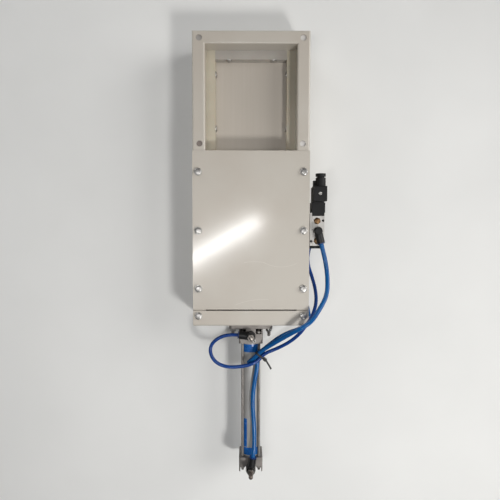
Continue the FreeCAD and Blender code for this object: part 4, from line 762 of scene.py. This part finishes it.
def button_head():
    """A low round head on the plane at zero, with a round socket."""
    head = [ring(GUIDE_HEAD_RADIUS, 0), ring(GUIDE_HEAD_RADIUS, GUIDE_RIM)]
    for step in range(1, GUIDE_STEPS + 1):
        angle = step * GUIDE_STEP_ANGLE
        inwards = (GUIDE_HEAD_RADIUS - SOCKET_RADIUS) * (1 - math.cos(angle)) * GUIDE_CURVE
        rise = (GUIDE_HEAD - GUIDE_RIM) * math.sin(angle)
        head.append(ring(GUIDE_HEAD_RADIUS - inwards, GUIDE_RIM + rise))
    head.append(ring(SOCKET_RADIUS, GUIDE_HEAD))
    head.append(ring(SOCKET_RADIUS, GUIDE_HEAD - SOCKET_DEPTH))
    return head


def guide_screws():
    """Low button-head screws, heads towards the passage."""
    bm = bmesh.new()
    for low, high in solids_of("guide_screws"):
        middle = (low + high) / 2
        size = high - low
        if size.y > size.x:
            axis = REAR
            seat = Vector((middle.x, low.y + GUIDE_HEAD, middle.z)) * MM
        else:
            side = 1 if middle.x > 0 else -1
            axis = Vector((-side, 0, 0))
            tip = low.x if side > 0 else high.x
            seat = Vector((tip + side * GUIDE_HEAD, middle.y, middle.z)) * MM
        stack(bm, button_head(), seat, axis)
        length = max(size.x, size.y) - GUIDE_HEAD
        stack(bm, thread_outlines(BOLT_RADIUS, length, BOLT_PITCH), seat, -axis)
    shaded_piece("guide_screws_detailed", bm, "frame", "zinc_steel", "guide_screws")


def flange_bolts():
    """The cylinder's bolts: heads inside the chamber, nuts and thread tails outside."""
    bm = bmesh.new()
    for index, (low, high) in enumerate(solids_of("flange_bolts")):
        middle = (low + high) / 2
        length = high.y - low.y
        turn = TURN_STEP * index
        if length > BOLT_NUT * 2:
            seat = Vector((middle.x, high.y - BOLT_HEAD, middle.z)) * MM
            stack(bm, hex_head(BOLT_FLATS, BOLT_HEAD), seat, -REAR, turn)
            stack(bm, thread_outlines(BOLT_RADIUS, length - BOLT_HEAD, BOLT_PITCH), seat, REAR)
        else:
            seat = Vector((middle.x, high.y, middle.z)) * MM
            stack(bm, hex_nut(BOLT_FLATS, length, BOLT_RADIUS), seat, REAR, turn, closed=True)
    shaded_piece("flange_bolts_detailed", bm, "frame", "zinc_steel", "flange_bolts")


TIE_RADIUS = 3
TIE_FLATS = 10
TIE_THREAD = 12
TIE_PITCH = 1
TIE_NUT_TURN = math.radians(30)


def tie_rods():
    """Plain rods with threaded ends, and chamfered nuts at both heads."""
    bm = bmesh.new()
    thread = thread_outlines(TIE_RADIUS, TIE_THREAD, TIE_PITCH)
    for low, high in solids_of("tie_rods"):
        middle = (low + high) / 2
        length = high.y - low.y
        if length > TIE_THREAD * 2:
            front_root = Vector((middle.x, high.y - TIE_THREAD, middle.z)) * MM
            rear_root = Vector((middle.x, low.y + TIE_THREAD, middle.z)) * MM
            stack(bm, rod_outlines(TIE_RADIUS, length - TIE_THREAD * 2), front_root, REAR)
            stack(bm, thread, front_root, -REAR)
            stack(bm, thread, rear_root, REAR)
        else:
            seat = Vector((middle.x, low.y, middle.z)) * MM
            stack(bm, hex_nut(TIE_FLATS, length, TIE_RADIUS), seat, -REAR, TIE_NUT_TURN, closed=True)
    shaded_piece("tie_rods_detailed", bm, "frame", "zinc_steel", "tie_rods", material=TIE_STEEL)


NEEDLE_RADIUS = 3.25
KNOB_RADIUS = 4.8
KNOB_RIBS = 12
KNOB_RIB_DEPTH = 0.45
KNOB_EDGE = 0.4
KNOB_TOP = 1.8
BANJO_HEX_TOP = 116
KNOB_GAP = 0.5

# Crown of a knob: radius, and depth below the top
KNOB_PROFILE = [(KNOB_RADIUS - 0.5, 1), (KNOB_RADIUS * 0.65, 0.3), (KNOB_RADIUS * 0.25, 0)]


def needle(name, body, material=None):
    """A flow control's needle: a plain stem below a knob that is ribbed for the fingers."""
    low, high = [Vector(corner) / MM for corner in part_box(name)]
    middle = (low + high) / 2
    length = high.z - low.z
    knob = BANJO_HEX_TOP + KNOB_GAP - low.z
    outlines = [
        ring(NEEDLE_RADIUS / 2, 0),
        ring(NEEDLE_RADIUS, NEEDLE_RADIUS),
        ring(NEEDLE_RADIUS, knob),
        ring(KNOB_RADIUS - KNOB_EDGE, knob),
        ring(KNOB_RADIUS, knob + KNOB_EDGE, KNOB_RIBS, KNOB_RIB_DEPTH),
        ring(KNOB_RADIUS, length - KNOB_TOP, KNOB_RIBS, KNOB_RIB_DEPTH),
    ]
    outlines += [ring(radius, length - depth) for radius, depth in KNOB_PROFILE]
    bm = bmesh.new()
    stack(bm, outlines, Vector((middle.x, middle.y, low.z)) * MM, UP)
    shaded_piece(f"{name}_knob", bm, body, slot_of[name], name, material=material)


SILENCER_FLATS = 14
SILENCER_COLLAR = 1.9
SILENCER_STEM = 5.4
SILENCER_CORE = 5.2

# Dome of a silencer's core: radius, and depth below the top
DOME_PROFILE = [(SILENCER_CORE, 0.8), (SILENCER_CORE * 0.85, 0.3), (SILENCER_CORE * 0.5, 0)]


def silencers():
    """Exhaust silencers: a brass hex collar round a domed core of sintered grains."""
    collars = bmesh.new()
    cores = bmesh.new()
    valve_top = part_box("valve_body")[1][2] / MM
    for index, (low, high) in enumerate(solids_of("silencers")):
        middle = (low + high) / 2
        seat = Vector((middle.x, middle.y, valve_top)) * MM
        stack(collars, hex_head(SILENCER_FLATS, SILENCER_COLLAR), seat, UP, TURN_STEP * (index + 1))
        core = [
            ring(SILENCER_STEM, low.z - valve_top),
            ring(SILENCER_STEM, SILENCER_COLLAR - HEAD_CROWN),
            ring(SILENCER_CORE, SILENCER_COLLAR),
        ]
        core += [ring(radius, high.z - valve_top - depth) for radius, depth in DOME_PROFILE]
        stack(cores, core, seat, UP)
    shaded_piece("silencer_collars", collars, "frame", "silencer_bronze", material=SILENCER_BRASS)
    shaded_piece("silencer_cores", cores, "frame", "silencer_bronze", "silencers")


PLUG_RADIUS = 6.3
PLUG_DEPTH = 2.6
PLUG_LENGTH = 6
PLUG_EDGE = 0.3
# Each hole's plug and its tone; the tones are painted reflection
PLUGS = {
    "plug_far_left": (-1, 1, PLUG_DULL),
    "plug_far_right": (1, 1, PLUG_BRIGHT),
    "plug_near_left": (-1, -1, PLUG_DARK),
    "plug_near_right": (1, -1, PLUG_BRIGHT),
}


def flange_plugs():
    """Flat screw plugs that close the flange's holes a little below its face; their three tones are painted
    reflection.
    """
    mount = next(mount for mount in frame["record"]["mounts"] if mount["name"] == "inlet_flange")
    half_x = mount["dims"]["spacing_x_mm"] / 2
    half_y = mount["dims"]["spacing_y_mm"] / 2
    centre = Vector(mount["pos_m"]) / MM
    for name, (side_x, side_y, material) in PLUGS.items():
        bm = bmesh.new()
        place = centre + Vector((side_x * half_x, side_y * half_y, -PLUG_DEPTH))
        stack(bm, rod_outlines(PLUG_RADIUS, PLUG_LENGTH, PLUG_EDGE), place * MM, DOWN)
        shaded_piece(name, bm, "frame", "zinc_steel", material=material)


BARREL_RADIUS = 22.5
BAND_SINK = 0.1
BAND_RISE = 0.12
BANDS = [(-565.6, -584), (-811, -828.5)]
LABEL_SPAN = (-742, -809.5)
LABEL_ANGLES = (math.radians(-44.6), math.radians(-23.6))
LABEL_STEPS = 8


def barrel_bands():
    """Coloured bands round the barrel's ends and one blank label along it."""
    bm = bmesh.new()
    low, high = [Vector(corner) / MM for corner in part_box("barrel")]
    axis_height = (low.z + high.z) / 2
    inner = BARREL_RADIUS - BAND_SINK
    outer = BARREL_RADIUS + BAND_RISE
    for start, end in BANDS:
        band = [ring(inner, 0), ring(outer, 0), ring(outer, start - end), ring(inner, start - end)]
        stack(bm, band, Vector((0, start, axis_height)) * MM, REAR, closed=True)
    corners = []
    for step in range(LABEL_STEPS + 1):
        angle = LABEL_ANGLES[0] + (LABEL_ANGLES[1] - LABEL_ANGLES[0]) * step / LABEL_STEPS
        for reach in (inner, outer):
            for y in LABEL_SPAN:
                place = Vector((reach * math.sin(angle), y, axis_height + reach * math.cos(angle)))
                corners.append(bm.verts.new(place * MM))
    for step in range(LABEL_STEPS):
        a, b, c, d, e, f, g, h = corners[step * 4 : step * 4 + 8]
        for face in ((a, b, f, e), (c, d, h, g), (a, c, g, e), (b, d, h, f)):
            bm.faces.new(face)
    for a, b, c, d in (corners[:4], corners[-4:]):
        bm.faces.new((a, b, d, c))
    shaded_piece("barrel_bands", bm, "frame", "barrel_aluminium", material=BAND_BLUE)


cover_bolts()
guide_screws()
flange_bolts()
tie_rods()
needle("front_needle", "front_needle_screw")
# The rear knob takes the darker copy of the metal: painted shade
needle("rear_needle", "rear_needle_screw", KNOB_PAINTED_SHADE)
silencers()
flange_plugs()
barrel_bands()

# Camera at the photograph's place: above the gate, looking almost straight down
CAMERA_PLACE = Vector((-0.0049, -0.2916, 1.092))
TILT_X = math.radians(3.11)
TILT_Y = math.radians(0.16)
TILT_Z = math.radians(-0.04)
FOCAL_PIXELS = 442
IMAGE_PIXELS = 500
SENSOR_WIDTH = 36

camera = bpy.data.objects.new("camera", bpy.data.cameras.new("camera"))
bpy.context.collection.objects.link(camera)
camera.data.sensor_width = SENSOR_WIDTH
camera.data.lens = FOCAL_PIXELS / IMAGE_PIXELS * SENSOR_WIDTH
to_camera = Matrix.Rotation(TILT_Z, 3, "Z") @ Matrix.Rotation(TILT_Y, 3, "Y")
to_camera = to_camera @ Matrix.Rotation(TILT_X, 3, "X")
camera.matrix_world = Matrix.Translation(CAMERA_PLACE) @ to_camera.transposed().to_4x4()
bpy.context.scene.camera = camera

# Floor and studio light, in metres and watts
FLOOR_REACH = 6
FLOOR_DROP = 0.0005
AIM = Vector((0, -0.25, 0.06))
WARM_WHITE = (1, 0.99, 0.97)
PLAIN_WHITE = (1, 1, 1)
LOW_FILL_SPREAD = math.radians(60)
STRIP_START = Vector((-0.76, -0.728, 2.0))
STRIP_END = Vector((0.066, -0.251, 2.0))
STRIP_WIDTH = 0.03
SKY_COLOUR = (0.95, 0.96, 1, 1)
SKY_STRENGTH = 0.12


def floor():
    """A plain pale floor, just under the gate."""
    mesh = bpy.data.meshes.new("floor")
    bm = bmesh.new()
    bmesh.ops.create_grid(bm, x_segments=1, y_segments=1, size=FLOOR_REACH)
    bm.to_mesh(mesh)
    bm.free()
    made = bpy.data.objects.new("floor", mesh)
    bpy.context.collection.objects.link(made)
    made.location.z = -FLOOR_DROP
    look = Look("floor", Specular_IOR_Level=0.2)
    look.colour(look.blend(look.noise(scale=3), WIDE_SPAN, srgb(222, 222, 220), srgb(228, 228, 226)))
    look.roughness(look.noise(scale=20, detail=2), low=0.7, high=0.8)
    mesh.materials.append(look.material)


def area_light(name, place, size, power, colour):
    """A rectangular lamp that faces the gate."""
    data = bpy.data.lights.new(name, "AREA")
    data.shape = "RECTANGLE"
    data.size, data.size_y = size
    data.energy = power
    data.color = colour
    light = bpy.data.objects.new(name, data)
    bpy.context.collection.objects.link(light)
    light.location = place
    light.rotation_euler = (AIM - Vector(place)).to_track_quat("-Z", "Y").to_euler()
    return light


floor()
area_light("key", place=(0.8, -1.25, 1.75), size=(0.3, 0.3), power=20.5, colour=WARM_WHITE)
area_light("window", place=(3.4, 0.6, 2.3), size=(2.2, 2.2), power=84, colour=WARM_WHITE)
low_fill = area_light("low_fill", place=(-2.0, 1.9, 0.6), size=(1.6, 0.8), power=3.5, colour=PLAIN_WHITE)
low_fill.data.spread = LOW_FILL_SPREAD

# A strip lamp, level above the gate, whose reflection lies across the cover
strip_line = STRIP_END - STRIP_START
strip = area_light(
    "strip",
    place=STRIP_START.lerp(STRIP_END, 0.5),
    size=(strip_line.length, STRIP_WIDTH),
    power=8.5,
    colour=PLAIN_WHITE,
)
strip.rotation_euler = (0, 0, math.atan2(strip_line.y, strip_line.x))

world = bpy.data.worlds.new("studio")
bpy.context.scene.world = world
world.use_nodes = True
backdrop = world.node_tree.nodes["Background"]
backdrop.inputs["Color"].default_value = SKY_COLOUR
backdrop.inputs["Strength"].default_value = SKY_STRENGTH
bpy.context.scene.view_settings.view_transform = "Standard"
